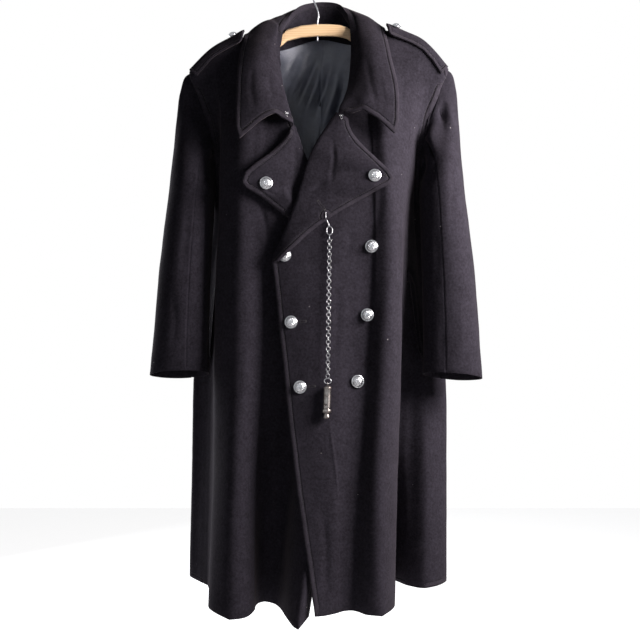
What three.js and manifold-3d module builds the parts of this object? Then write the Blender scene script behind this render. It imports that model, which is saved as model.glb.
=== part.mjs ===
// A long double-breasted police overcoat of heavy wool, hanging open-collared on a wooden hanger.
// Millimetres, +Z up. The origin is the middle of the rail that the hanger's hook hangs on.
// +X is the wearer's left, and the front of the coat faces -Y.
import * as THREE from "three";
import { mergeVertices } from "three/addons/utils/BufferGeometryUtils.js";
import Module from "manifold-3d";

const wasm = await Module();
wasm.setup();

// ---- Driving sizes ----
const CLOTH = 2.8; // wall of the melton cloth
const LEAF = 3.4; // collar and lapels: cloth and its facing, pressed together
const LINING = 1.4;
const STRAP = 4;
const WELT = 2.6;
const RAIL_TO_WOOD = 83;
const BUTTON_R = 12.3;
const SMALL_BUTTON_R = 8.8;
const SEAM = 0.5; // the gap that two sewn pieces keep
const FRONT_PITCH = 36; // widest step between two columns of a front, and of the back
const BACK_PITCH = 46;

// Heights at which the body's fold lines are placed.
const LEVEL = { shoulder: -220, arm: -300, chest: -400, ribs: -500, waist: -600, hip: -800, knee: -1020 };

// ---- Shoulder seams, from the neck out to the sleeve head: x and z ----
const SHOULDER_R = { neck: [-92, -105], collarbone: [-137, -108], middle: [-174, -117], end: [-216, -137],
  point: [-265, -184] };
const SHOULDER_L = { neck: [92, -93], collarbone: [137, -97], middle: [174, -104], end: [217, -123],
  point: [267, -178] };
const RIDGE = { reach: 15, drop: 6 }; // how the cloth turns over the hanger's wood

// ---- Fold lines of the body. Each row is one line from the panel's top edge down to the hem. ----
// top and hem are x, y, z; the other columns are x, y at the levels above. seam names a point of the
// shoulder seam.
const RIGHT_FRONT = [
  { fold: "front edge", top: [88, -76, -583], hip: [66, -92], knee: [24, -124], hem: [-17, -172, -1266] },
  { fold: "edge ridge", top: [60, -78, -545], waist: [60, -79], hip: [40, -90], knee: [0, -128],
    hem: [-37, -202, -1282] },
  { fold: "ridge turn", top: [24, -78, -484], waist: [20, -80], hip: [4, -86], knee: [-32, -110],
    hem: [-57, -166, -1275] },
  { fold: "deep valley", top: [-29, -78, -372], waist: [-44, -78], hip: [-48, -76], knee: [-62, -60],
    hem: [-84, -68, -1273] },
  { fold: "gorge", top: [-49, -77, -308], chest: [-60, -84], waist: [-72, -82], hip: [-76, -80],
    knee: [-86, -62], hem: [-106, -56, -1270] },
  { fold: "neckline", top: [-86, -54, -215], chest: [-98, -88], waist: [-99, -86], hip: [-102, -87],
    knee: [-110, -76], hem: [-121, -70, -1270] },
  { fold: "side neck", seam: "neck", shoulder: [-106, -52], arm: [-114, -76], chest: [-118, -92],
    waist: [-120, -92], hip: [-124, -97], knee: [-128, -106], hem: [-126, -128, -1269] },
  { fold: "chest rise", seam: "collarbone", shoulder: [-134, -54], arm: [-138, -80], chest: [-140, -94],
    waist: [-138, -99], hip: [-139, -107], knee: [-142, -124], hem: [-140, -154, -1273] },
  { fold: "chest ridge", seam: "middle", shoulder: [-168, -44], arm: [-168, -70], chest: [-168, -86],
    waist: [-166, -97], hip: [-167, -106], knee: [-170, -132], hem: [-170, -166, -1274] },
  { fold: "ridge side", seam: "end", shoulder: [-199, -33], arm: [-195, -46], chest: [-197, -54],
    ribs: [-199, -57],
    waist: [-203, -60], hip: [-204, -70], knee: [-203, -92], hem: [-209, -130, -1266] },
  { fold: "flank", seam: "point", shoulder: [-227, -21], arm: [-204, -24], chest: [-199, -20],
    ribs: [-198, -10], waist: [-206, 0], hip: [-218, 2], knee: [-224, 0], hem: [-228, -8, -1252] },
  { fold: "armhole", top: [-221, -14, -322], chest: [-208, 2], ribs: [-206, 20], waist: [-222, 36],
    hip: [-244, 34], knee: [-248, 32], hem: [-254, 28, -1249] },
  { fold: "side seam", top: [-214, 16, -416], ribs: [-224, 46], waist: [-243, 62], hip: [-264, 52],
    knee: [-269, 52], hem: [-275, 56, -1245] },
];
const BACK_RIGHT = [
  { fold: "back armhole", top: [-226, 34, -322], chest: [-210, 46], ribs: [-212, 68], waist: [-222, 80],
    hip: [-240, 78], knee: [-246, 82], hem: [-248, 92, -1246] },
  { fold: "shoulder point", seam: "point", shoulder: [-230, 26], arm: [-204, 42], chest: [-188, 56],
    ribs: [-182, 72], waist: [-184, 78], hip: [-196, 66], knee: [-200, 64], hem: [-204, 68, -1248] },
  { fold: "shoulder blade", seam: "end", shoulder: [-196, 34], chest: [-160, 60], ribs: [-152, 70],
    waist: [-148, 70], hip: [-158, 78], knee: [-160, 88], hem: [-164, 102, -1250] },
  { fold: "blade hollow", seam: "middle", shoulder: [-160, 41], chest: [-130, 62], ribs: [-120, 66],
    waist: [-114, 64], hip: [-118, 62], knee: [-120, 60], hem: [-122, 60, -1250] },
  { fold: "blade ridge", seam: "collarbone", shoulder: [-124, 46], chest: [-98, 62], ribs: [-88, 68],
    waist: [-82, 72], hip: [-80, 78], knee: [-78, 88], hem: [-78, 102, -1250] },
  { fold: "side neck", seam: "neck", shoulder: [-84, 50], chest: [-66, 62], ribs: [-58, 66],
    waist: [-54, 66], hip: [-48, 66], knee: [-44, 66], hem: [-42, 66, -1250] },
  { fold: "back neck", top: [-54, 36, -101], shoulder: [-42, 54], chest: [-34, 63], ribs: [-30, 68],
    waist: [-28, 72], hip: [-24, 74], knee: [-20, 78], hem: [-18, 86, -1250] },
];
const CENTRE_BACK = { fold: "centre back", top: [0, 50, -97], shoulder: [0, 56], chest: [0, 63],
  ribs: [0, 67],
  waist: [0, 70], hip: [0, 74], knee: [0, 80], hem: [0, 90, -1250] };
const BACK_LEFT = [
  { fold: "back neck", top: [54, 36, -94], shoulder: [42, 54], chest: [34, 63], ribs: [30, 68],
    waist: [28, 72], hip: [24, 74], knee: [20, 78], hem: [18, 86, -1250] },
  { fold: "side neck", seam: "neck", shoulder: [84, 50], chest: [66, 62], ribs: [58, 66], waist: [54, 66],
    hip: [50, 66], knee: [48, 66], hem: [48, 66, -1250] },
  { fold: "blade ridge", seam: "collarbone", shoulder: [124, 46], chest: [98, 62], ribs: [88, 68],
    waist: [84, 74], hip: [84, 80], knee: [86, 90], hem: [90, 104, -1250] },
  { fold: "blade hollow", seam: "middle", shoulder: [160, 41], chest: [130, 62], ribs: [120, 66],
    waist: [116, 64], hip: [122, 62], knee: [128, 60], hem: [134, 60, -1250] },
  { fold: "shoulder blade", seam: "end", shoulder: [196, 34], chest: [160, 60], ribs: [152, 70],
    waist: [150, 70], hip: [162, 78], knee: [168, 86], hem: [174, 96, -1250] },
  { fold: "shoulder point", seam: "point", shoulder: [232, 26], arm: [204, 42], chest: [188, 56],
    ribs: [182, 72], waist: [186, 78], hip: [202, 68], knee: [208, 62], hem: [212, 58, -1248] },
  { fold: "back armhole", top: [226, 34, -320], chest: [210, 46], ribs: [212, 68], waist: [222, 80],
    hip: [246, 74], knee: [250, 66], hem: [248, 58, -1247] },
];
const LEFT_FRONT = [
  { fold: "side seam", top: [212, 16, -415], ribs: [222, 46], waist: [243, 62], hip: [270, 48],
    knee: [271, 30], hem: [269, 12, -1246] },
  { fold: "side fold", top: [220, -14, -320], chest: [207, 2], ribs: [203, 18], waist: [216, 36],
    hip: [233, 20], knee: [227, -8], hem: [220, -30, -1250] },
  { fold: "flank", seam: "point", shoulder: [229, -21], arm: [204, -24], chest: [197, -20],
    ribs: [189, -14], waist: [192, -8], hip: [192, 6], knee: [186, 10], hem: [180, 0, -1250] },
  { fold: "deep valley", seam: "end", shoulder: [199, -33], arm: [192, -42], chest: [186, -46],
    ribs: [180, -44], waist: [175, -40], hip: [167, -16], knee: [157, 20], hem: [150, 46, -1250] },
  { fold: "ridge side", seam: "middle", shoulder: [170, -43], arm: [168, -64], chest: [167, -74],
    waist: [167, -82], hip: [163, -90], knee: [154, -112], hem: [147, -142, -1258] },
  { fold: "chest ridge", seam: "collarbone", shoulder: [138, -54], arm: [140, -82], chest: [144, -95],
    waist: [147, -108], hip: [137, -122], knee: [124, -156], hem: [122, -188, -1261] },
  { fold: "side neck", seam: "neck", shoulder: [106, -52], arm: [115, -78], chest: [120, -93],
    waist: [122, -105], hip: [112, -117], knee: [99, -153], hem: [95, -182, -1260] },
  { fold: "soft valley", top: [83, -56, -205], chest: [98, -88], waist: [100, -96], hip: [88, -106],
    knee: [76, -137], hem: [68, -162, -1258] },
  { fold: "gorge", top: [41, -79, -283], chest: [40, -93], waist: [32, -107], hip: [38, -118],
    knee: [44, -147], hem: [48, -166, -1258] },
  { fold: "roll", top: [-7, -90, -361], ribs: [-4, -101], waist: [2, -108], hip: [14, -121],
    knee: [30, -152], hem: [37, -173, -1259] },
  { fold: "under the lapel", top: [-38, -98, -458], waist: [-34, -108], hip: [-14, -122],
    knee: [6, -153], hem: [24, -180, -1260] },
  { fold: "facing", top: [-66, -100, -532], waist: [-66, -105], hip: [-42, -120], knee: [-18, -152],
    hem: [9, -186, -1261] },
  { fold: "front edge", top: [-91, -101, -583], hip: [-68, -117], knee: [-42, -151],
    hem: [-5, -190, -1261] },
];

// ---- Collar, a row for each section from the wearer's right end round the neck to the left end ----
// at is how far along the neck seam; fold is its top roll, the others lie on the turned-down fall.
const COLLAR = [
  { at: 0, fold: [-50, -89, -307], turn: [-68, -99, -299], middle: [-90, -103, -291],
    edge: [-155, -108, -341] },
  { at: 0.045, fold: [-56, -87, -285], turn: [-76, -96, -282], middle: [-102, -102, -284],
    edge: [-163, -104, -322] },
  { at: 0.09, fold: [-63, -82, -261], turn: [-84, -92, -262], middle: [-112, -100, -268],
    edge: [-164, -98, -296] },
  { at: 0.17, fold: [-73, -67, -220], turn: [-92, -80, -224], middle: [-122, -92, -236],
    edge: [-164, -88, -258] },
  { at: 0.29, fold: [-80, -34, -146], turn: [-97, -52, -148], middle: [-126, -62, -156],
    edge: [-161, -60, -178] },
  { at: 0.33, fold: [-77, -16, -112], turn: [-94, -22, -106], middle: [-123, -26, -112],
    edge: [-155, -28, -133] },
  { at: 0.37, fold: [-72, 4, -82], turn: [-90, 4, -76], middle: [-118, 6, -79], edge: [-148, 6, -104] },
  { at: 0.43, fold: [-42, 38, -38], turn: [-54, 47, -42], middle: [-78, 60, -62], edge: [-98, 66, -122] },
  { at: 0.5, fold: [6, 54, -24], turn: [5, 64, -33], middle: [4, 73, -62], edge: [2, 76, -124] },
  { at: 0.57, fold: [48, 38, -34], turn: [58, 47, -37], middle: [78, 60, -56], edge: [92, 66, -114] },
  { at: 0.63, fold: [66, 4, -72], turn: [80, 4, -64], middle: [104, 6, -67], edge: [132, 6, -89] },
  { at: 0.67, fold: [70, -16, -106], turn: [84, -22, -98], middle: [109, -27, -101],
    edge: [141, -29, -118] },
  { at: 0.71, fold: [70, -34, -146], turn: [86, -52, -145], middle: [112, -62, -148],
    edge: [147, -60, -162] },
  { at: 0.83, fold: [63, -68, -220], turn: [82, -82, -220], middle: [114, -95, -226],
    edge: [160, -94, -240] },
  { at: 0.91, fold: [52, -85, -258], turn: [72, -94, -256], middle: [106, -104, -260],
    edge: [161, -102, -286] },
  { at: 0.955, fold: [46, -90, -272], turn: [68, -98, -274], middle: [98, -107, -272],
    edge: [159, -107, -314] },
  { at: 1, fold: [42, -91, -281], turn: [66, -102, -290], middle: [90, -107, -284],
    edge: [151, -111, -332] },
];
const COLLAR_ROWS = [0, 0.03, 0.06, 0.09, 0.125, 0.16, 0.2, 0.24, 0.275, 0.305, 0.33, 0.345, 0.358,
  0.372, 0.395, 0.425, 0.46, 0.5,
  0.54, 0.575, 0.605, 0.628, 0.642, 0.655, 0.67, 0.695, 0.725, 0.76, 0.8, 0.84, 0.875, 0.91, 0.94, 0.97, 1];
const ROLL = 3.6; // half the thickness of the collar's roll

// ---- Lapels, a row for each section from the gorge down the roll line to the break ----
// edge is x, z of the outer edge; stand is how far the leaf lies off the front below it.
const LAPEL_R = [
  { at: 0, edge: [-57, -319], stand: 10 },
  { at: 0.06, edge: [-63, -332], stand: 12 },
  { at: 0.13, edge: [-80, -354], stand: 15 },
  { at: 0.21, edge: [-108, -379], stand: 18 },
  { at: 0.29, edge: [-140, -405], stand: 20 },
  { at: 0.33, edge: [-150, -420], stand: 20 },
  { at: 0.37, edge: [-148, -433], stand: 18 },
  { at: 0.48, edge: [-112, -458], stand: 13 },
  { at: 0.6, edge: [-66, -493], stand: 8 },
  { at: 0.8, edge: [14, -550], stand: 6.5 },
  { at: 1, edge: [80, -592], stand: 6.5 },
];
const LAPEL_L = [
  { at: 0, edge: [60, -298], stand: 12 },
  { at: 0.06, edge: [63, -316], stand: 12 },
  { at: 0.13, edge: [76, -338], stand: 12 },
  { at: 0.22, edge: [106, -369], stand: 13 },
  { at: 0.31, edge: [142, -406], stand: 14 },
  { at: 0.34, edge: [151, -417], stand: 14 },
  { at: 0.38, edge: [146, -428], stand: 13 },
  { at: 0.48, edge: [108, -449], stand: 10 },
  { at: 0.6, edge: [54, -480], stand: 9 },
  { at: 0.75, edge: [-10, -523], stand: 9 },
  { at: 0.88, edge: [-50, -560], stand: 15.5 },
  { at: 1, edge: [-78, -586], stand: 15 },
];
const LAPEL_TURN = 9; // depth of the lapel's soft roll in front of the panel

// ---- Sleeves, a row for each section: centre x, y, half width, half depth, height ----
const SLEEVE_L = [
  { part: "biceps", centre: [257, -8], half: [44, 60], z: -440 },
  { part: "elbow", centre: [267, -26], half: [51, 52], z: -600 },
  { part: "forearm", centre: [272, -32], half: [54, 47], z: -715 },
  { part: "cuff", centre: [275, -34], half: [58, 41], z: -815, outerDrop: 5, frontDrop: -9 },
];
const SLEEVE_R = [
  { part: "biceps", centre: [-261, -8], half: [45, 60], z: -440 },
  { part: "elbow", centre: [-273, -26], half: [50, 52], z: -600 },
  { part: "forearm", centre: [-279, -32], half: [53, 47], z: -715 },
  { part: "cuff", centre: [-283, -34], half: [58, 41], z: -811, outerDrop: 2, frontDrop: -10 },
];
const SLEEVE_COLUMNS = 20;
const SLEEVE_ROWS = [0, 0.12, 0.3, 0.55, 0.8, 1, 1.35, 1.7, 2, 2.35, 2.7, 3, 3.5, 4];
const FOREARM_SEAM = 6; // columns where the top sleeve and the under sleeve are sewn together
const HINDARM_SEAM = 14;

// ---- Small vector helpers ----
const vec = (a) => new THREE.Vector3(a[0], a[1], a[2]);
const lerp = (a, b, t) => a + (b - a) * t;
const smooth = (t) => t * t * (3 - 2 * t);
const through = (points) => new THREE.CatmullRomCurve3(points, false, "centripetal");

// Makes a closed solid of cloth from the outer surface's points and the way out at each.
function clothSolid(points, outward, wall) {
  const rows = points.length;
  const columns = points[0].length;
  const position = [];
  points.flat().forEach((p) => position.push(p.x, p.y, p.z));
  points.forEach((row, j) => row.forEach((p, i) => {
    const q = p.clone().addScaledVector(outward[j][i], -wall);
    position.push(q.x, q.y, q.z);
  }));
  const outer = (j, i) => j * columns + i;
  const inner = (j, i) => rows * columns + j * columns + i;
  const index = [];
  const quad = (a, b, c, d) => index.push(a, b, c, a, c, d);
  for (let j = 0; j + 1 < rows; j++) {
    for (let i = 0; i + 1 < columns; i++) {
      quad(outer(j, i), outer(j, i + 1), outer(j + 1, i + 1), outer(j + 1, i));
      quad(inner(j, i), inner(j + 1, i), inner(j + 1, i + 1), inner(j, i + 1));
    }
    quad(outer(j, 0), outer(j + 1, 0), inner(j + 1, 0), inner(j, 0));
    quad(outer(j, columns - 1), inner(j, columns - 1), inner(j + 1, columns - 1),
      outer(j + 1, columns - 1));
  }
  for (let i = 0; i + 1 < columns; i++) {
    quad(outer(0, i), inner(0, i), inner(0, i + 1), outer(0, i + 1));
    quad(outer(rows - 1, i), outer(rows - 1, i + 1), inner(rows - 1, i + 1), inner(rows - 1, i));
  }
  return facingOut(position, index);
}

// Builds the geometry, turned right way out.
function facingOut(position, index) {
  const at = (k) => new THREE.Vector3().fromArray(position, 3 * k);
  let volume = 0;
  for (let k = 0; k < index.length; k += 3) {
    volume += at(index[k]).dot(at(index[k + 1]).cross(at(index[k + 2])));
  }
  if (volume < 0) index.reverse();
  const geometry = new THREE.BufferGeometry();
  geometry.setAttribute("position", new THREE.Float32BufferAttribute(position, 3));
  geometry.setIndex(index);
  return geometry;
}

// The way out at each point of a grid: square to it, on the side that side picks.
function gridOutward(points, side = 1) {
  const last = points.length - 1;
  return points.map((row, j) => row.map((_, i) => {
    const end = row.length - 1;
    const across = points[j][Math.min(i + 1, end)].clone().sub(points[j][Math.max(i - 1, 0)]);
    const down = points[Math.min(j + 1, last)][i].clone().sub(points[Math.max(j - 1, 0)][i]);
    return across.cross(down).normalize().multiplyScalar(side);
  }));
}

// A closed solid lofted through rings of points, with a flat cap at each end.
function loftSolid(rings) {
  const count = rings[0].length;
  const position = rings.flat().flatMap((p) => [p.x, p.y, p.z]);
  const index = [];
  for (let j = 0; j + 1 < rings.length; j++) {
    for (let i = 0; i < count; i++) {
      const [a, b] = [j * count + i, j * count + ((i + 1) % count)];
      index.push(a, b, b + count, a, b + count, a + count);
    }
  }
  const last = (rings.length - 1) * count;
  for (let i = 1; i + 1 < count; i++) {
    index.push(0, i + 1, i, last, last + i, last + i + 1);
  }
  return facingOut(position, index);
}

// A round wire along a curve.
function wire(curve, radius, steps, sides = 8) {
  const frames = curve.computeFrenetFrames(steps, false);
  const rings = [];
  for (let k = 0; k <= steps; k++) {
    const centre = curve.getPointAt(k / steps);
    rings.push([...Array(sides)].map((_, i) => {
      const turn = (2 * Math.PI * i) / sides;
      return centre.clone()
        .addScaledVector(frames.normals[k], radius * Math.cos(turn))
        .addScaledVector(frames.binormals[k], radius * Math.sin(turn));
    }));
  }
  return loftSolid(rings);
}

// Adds closed geometries together, or subtracts the later ones from the first.
function combined(how, ...geometries) {
  const solids = geometries.map((g) => {
    const bare = g.index ? g.toNonIndexed() : g.clone();
    bare.deleteAttribute("normal");
    bare.deleteAttribute("uv");
    const merged = mergeVertices(bare, 1e-3);
    const triVerts = new Uint32Array(merged.index.array);
    return new wasm.Manifold(new wasm.Mesh({ numProp: 3,
      vertProperties: merged.attributes.position.array, triVerts }));
  });
  const mesh = solids.reduce((a, b) => a[how](b)).getMesh();
  const geometry = new THREE.BufferGeometry();
  geometry.setAttribute("position", new THREE.BufferAttribute(new Float32Array(mesh.vertProperties), 3));
  geometry.setIndex(new THREE.BufferAttribute(new Uint32Array(mesh.triVerts), 1));
  return geometry;
}

// ---- The body: one sheet through all fold lines, from the right front edge round to the left ----
// Turns a row of a fold table into its line down the body.
function foldLine(row, shoulder, facing) {
  const points = [];
  if (row.seam) {
    const [x, z] = shoulder[row.seam];
    points.push(new THREE.Vector3(x, facing * SEAM, z));
    points.push(new THREE.Vector3(x, facing * RIDGE.reach, z - RIDGE.drop));
  } else {
    points.push(vec(row.top));
  }
  const start = points[0].z;
  for (const [name, z] of Object.entries(LEVEL)) {
    if (row[name] && z < start - 20) points.push(new THREE.Vector3(row[name][0], row[name][1], z));
  }
  points.push(vec(row.hem));
  const curve = through(points);
  curve.arcLengthDivisions = 400;
  return curve;
}

const frontFacing = -1;
const backFacing = 1;
const FOLD_LINES = [
  ...RIGHT_FRONT.map((row) => foldLine(row, SHOULDER_R, frontFacing)),
  ...BACK_RIGHT.map((row) => foldLine(row, SHOULDER_R, backFacing)),
  foldLine(CENTRE_BACK, null, backFacing),
  ...BACK_LEFT.map((row) => foldLine(row, SHOULDER_L, backFacing)),
  ...LEFT_FRONT.map((row) => foldLine(row, SHOULDER_L, frontFacing)),
];
const lineNumber = (table, fold, before) => before + table.findIndex((row) => row.fold === fold);
const BACK_START = RIGHT_FRONT.length;
const CENTRE = BACK_START + BACK_RIGHT.length;
const LEFT_START = CENTRE + 1 + BACK_LEFT.length;
const LAST_LINE = FOLD_LINES.length - 1;
const RIGHT = {
  gorge: lineNumber(RIGHT_FRONT, "gorge", 0), neck: lineNumber(RIGHT_FRONT, "side neck", 0),
  point: lineNumber(RIGHT_FRONT, "flank", 0), side: lineNumber(RIGHT_FRONT, "side seam", 0),
  backPoint: lineNumber(BACK_RIGHT, "shoulder point", BACK_START),
  backNeck: lineNumber(BACK_RIGHT, "side neck", BACK_START),
};
const LEFT = {
  gorge: lineNumber(LEFT_FRONT, "gorge", LEFT_START),
  neck: lineNumber(LEFT_FRONT, "side neck", LEFT_START),
  point: lineNumber(LEFT_FRONT, "flank", LEFT_START),
  side: lineNumber(LEFT_FRONT, "side seam", LEFT_START),
  backPoint: lineNumber(BACK_LEFT, "shoulder point", CENTRE + 1),
  backNeck: lineNumber(BACK_LEFT, "side neck", CENTRE + 1),
};

// The top edge turns sharply where one seam meets the next. Near it each stretch between two corners is a
// curve
// of its own, and further down the stretches give way to one smooth curve round the whole body.
const CORNERS = [0, RIGHT.gorge, RIGHT.neck, RIGHT.point, RIGHT.backPoint, RIGHT.backNeck, LEFT.backNeck,
  LEFT.backPoint,
  LEFT.point, LEFT.neck, LEFT.gorge, LAST_LINE];
const STRETCH_FADE = 0.28; // share of the length over which the stretches give way

const rowCurves = new Map();
function rowCurve(from, to, down) {
  const key = `${from} ${to} ${down}`;
  if (!rowCurves.has(key)) rowCurves.set(key, through(FOLD_LINES.slice(from, to + 1)
    .map((line) => line.getPointAt(down))));
  return rowCurves.get(key);
}

// A point of the body's outer surface: line is a fold line's number, down is 0 at the top edge and 1 at
// the hem.
function bodyPoint(line, down) {
  const point = rowCurve(0, LAST_LINE, down).getPoint(line / LAST_LINE);
  if (down >= STRETCH_FADE) return point;
  const next = Math.max(1, CORNERS.findIndex((corner) => corner >= line));
  const [from, to] = [CORNERS[next - 1], CORNERS[next]];
  return point.lerp(rowCurve(from, to, down).getPoint((line - from) / (to - from)),
    1 - smooth(down / STRETCH_FADE));
}

function bodyAcross(line, down) {
  const [a, b] = [Math.max(line - 0.04, 0), Math.min(line + 0.04, LAST_LINE)];
  return bodyPoint(b, down).sub(bodyPoint(a, down)).normalize();
}

function bodyDown(line, down) {
  const step = 0.004;
  return bodyPoint(line, Math.min(down + step, 1))
    .sub(bodyPoint(line, Math.max(down - step, 0))).normalize();
}

function bodyOutward(line, down) {
  return bodyAcross(line, down).cross(bodyDown(line, down)).normalize();
}

// Whether a top-edge point lies on a shoulder seam, where front and back meet over the hanger.
function onShoulder(line) {
  return (line >= RIGHT.neck && line <= RIGHT.point) || (line >= LEFT.point && line <= LEFT.neck)
    || (line >= RIGHT.backPoint && line <= RIGHT.backNeck)
    || (line >= LEFT.backNeck && line <= LEFT.backPoint);
}

const BODY_ROWS = [0, 0.006, 0.0145, 0.032, 0.062,
  ...[...Array(18)].map((_, k) => lerp(0.062, 1, (k + 1) / 18))];

// The fold-line numbers of a panel's columns: every line, and steps between lines that lie far apart.
function columnsBetween(from, to, pitch) {
  const columns = [];
  for (let line = from; line < to; line++) {
    const wide = Math.max(...[0, 0.3, 0.6, 1].map((down) => (
      bodyPoint(line, down).distanceTo(bodyPoint(line + 1, down)))));
    const steps = Math.max(1, Math.round(wide / pitch));
    for (let k = 0; k < steps; k++) columns.push(line + k / steps);
  }
  return [...columns, to];
}

// One panel of the body between two fold lines; its sewn sides stand back from the seam.
function bodyPanel(from, to, pitch, sewnStart, sewnEnd) {
  const columns = columnsBetween(from, to, pitch);
  const points = BODY_ROWS.map((down) => columns.map((line, i) => {
    const point = bodyPoint(line, down);
    const last = i === columns.length - 1;
    const back = (i === 0 && sewnStart ? SEAM / 2 : 0) - (last && sewnEnd ? SEAM / 2 : 0);
    return back ? point.addScaledVector(bodyAcross(line, down), back) : point;
  }));
  const settled = BODY_ROWS[2]; // the cloth's edge takes the way out of the cloth a little below it
  const outward = BODY_ROWS.map((down, j) => columns.map((line) => {
    if (onShoulder(line)) {
      const out = bodyOutward(line, down);
      return j === 0 ? out.setY(0).normalize() : out;
    }
    return bodyOutward(line, Math.max(down, settled));
  }));
  return { columns, points, outward, geometry: clothSolid(points, outward, CLOTH) };
}

const rightFront = bodyPanel(0, RIGHT.side, FRONT_PITCH, false, true);
const backRight = bodyPanel(RIGHT.side, CENTRE, BACK_PITCH, true, true);
const backLeft = bodyPanel(CENTRE, LEFT.side, BACK_PITCH, true, true);
const leftFront = bodyPanel(LEFT.side, LAST_LINE, FRONT_PITCH, true, false);

// Every facet of the body's outer face with its way out.
const BODY_FACETS = [rightFront, backRight, backLeft, leftFront].flatMap(({ points, outward }) => (
  points.slice(1).flatMap((row, j) => row.slice(1).flatMap((c, i) => {
    const [a, b, d] = [points[j][i], points[j][i + 1], row[i]];
    return [new THREE.Triangle(a, b, c), new THREE.Triangle(a, c, d)].map((facet) => {
      const normal = facet.getNormal(new THREE.Vector3());
      return { facet, normal: normal.dot(outward[j][i]) < 0 ? normal.negate() : normal };
    });
  }))));

// Moves a point off the body's cloth: by one gap where its own piece faces the same way, by the other
// where not.
function clearOf(point, outward, gapOver, gapAgainst) {
  const touch = new THREE.Vector3();
  let near = { away: 900 };
  for (const { facet, normal } of BODY_FACETS) {
    facet.closestPointToPoint(point, touch);
    const away = touch.distanceToSquared(point);
    if (away < near.away) near = { away, normal, height: point.clone().sub(touch).dot(normal) };
  }
  if (!near.normal) return point;
  const gap = outward.dot(near.normal) > -0.5 ? gapOver : gapAgainst;
  return near.height < gap ? point.clone().addScaledVector(near.normal, gap - near.height) : point;
}

// The frontmost y of some grids at x, z, or null where none is there.
function frontAt(grids, x, z) {
  let best = null;
  for (const grid of grids) {
    for (let j = 0; j + 1 < grid.length; j++) {
      for (let i = 0; i + 1 < grid[j].length; i++) {
        const [a, b, c, d] = [grid[j][i], grid[j][i + 1], grid[j + 1][i + 1], grid[j + 1][i]];
        for (const [p, q, r] of [[a, b, c], [a, c, d]]) {
          const area = (q.x - p.x) * (r.z - p.z) - (r.x - p.x) * (q.z - p.z);
          if (Math.abs(area) < 1e-9) continue;
          const s = ((x - p.x) * (r.z - p.z) - (r.x - p.x) * (z - p.z)) / area;
          const t = ((q.x - p.x) * (z - p.z) - (x - p.x) * (q.z - p.z)) / area;
          if (s < -1e-6 || t < -1e-6 || s + t > 1 + 1e-6) continue;
          const y = p.y + s * (q.y - p.y) + t * (r.y - p.y);
          if (best === null || y < best) best = y;
        }
      }
    }
  }
  return best;
}

// Interpolates a table's column at a share along it.
function tableAt(table, column, share) {
  const k = Math.min(table.length - 2, Math.max(0, table.findIndex((row) => row.at > share) - 1));
  const last = share >= table[table.length - 1].at;
  const span = last ? table.length - 2 : k;
  const curve = through(table.map((row) => vec(row[column].length === 3 ? row[column]
    : [row[column][0], 0, row[column][1]])));
  const local = (share - table[span].at) / (table[span + 1].at - table[span].at);
  return curve.getPoint((span + Math.min(1, local)) / (table.length - 1));
}
function numberAt(table, column, share) {
  const span = Math.max(0, Math.min(table.length - 2, table.findIndex((row) => row.at > share) - 1));
  const pick = share >= 1 ? table.length - 2 : span;
  return lerp(table[pick][column], table[pick + 1][column],
    (share - table[pick].at) / (table[pick + 1].at - table[pick].at));
}

// ---- Sleeves ----
// The armhole's edge, from the shoulder down the front and up the back.
function armhole(marks, frontFirst) {
  const [from, to] = frontFirst ? [marks.point, marks.backPoint] : [marks.backPoint, marks.point];
  const loop = [];
  const fine = 120;
  let length = 0;
  for (let k = 0; k <= fine; k++) {
    const line = lerp(from, to, k / fine);
    const point = bodyPoint(line, 0);
    if (k) length += point.distanceTo(loop[k - 1].point);
    loop.push({ line, point, length });
  }
  if (!frontFirst) {
    loop.reverse();
    loop.forEach((p) => { p.length = length - p.length; });
  }
  return [...Array(SLEEVE_COLUMNS)].map((_, i) => {
    const wanted = (length * i) / SLEEVE_COLUMNS;
    const place = loop.reduce((a, b) => (Math.abs(b.length - wanted) < Math.abs(a.length - wanted) ? b
      : a));
    return i === 0 ? place.point.clone().setY(0) : place.point.clone();
  });
}

// A point of a sleeve's section: share 0 is the outer side, 1/4 the front, 1/2 the inner side.
function sleeveSection(row, side, share) {
  const turn = 2 * Math.PI * share;
  const [lateral, forward] = [Math.cos(turn), Math.sin(turn)];
  return new THREE.Vector3(
    row.centre[0] + side * row.half[0] * lateral,
    row.centre[1] - row.half[1] * forward,
    row.z - (row.outerDrop ?? 0) * lateral - (row.frontDrop ?? 0) * forward,
  );
}

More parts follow.
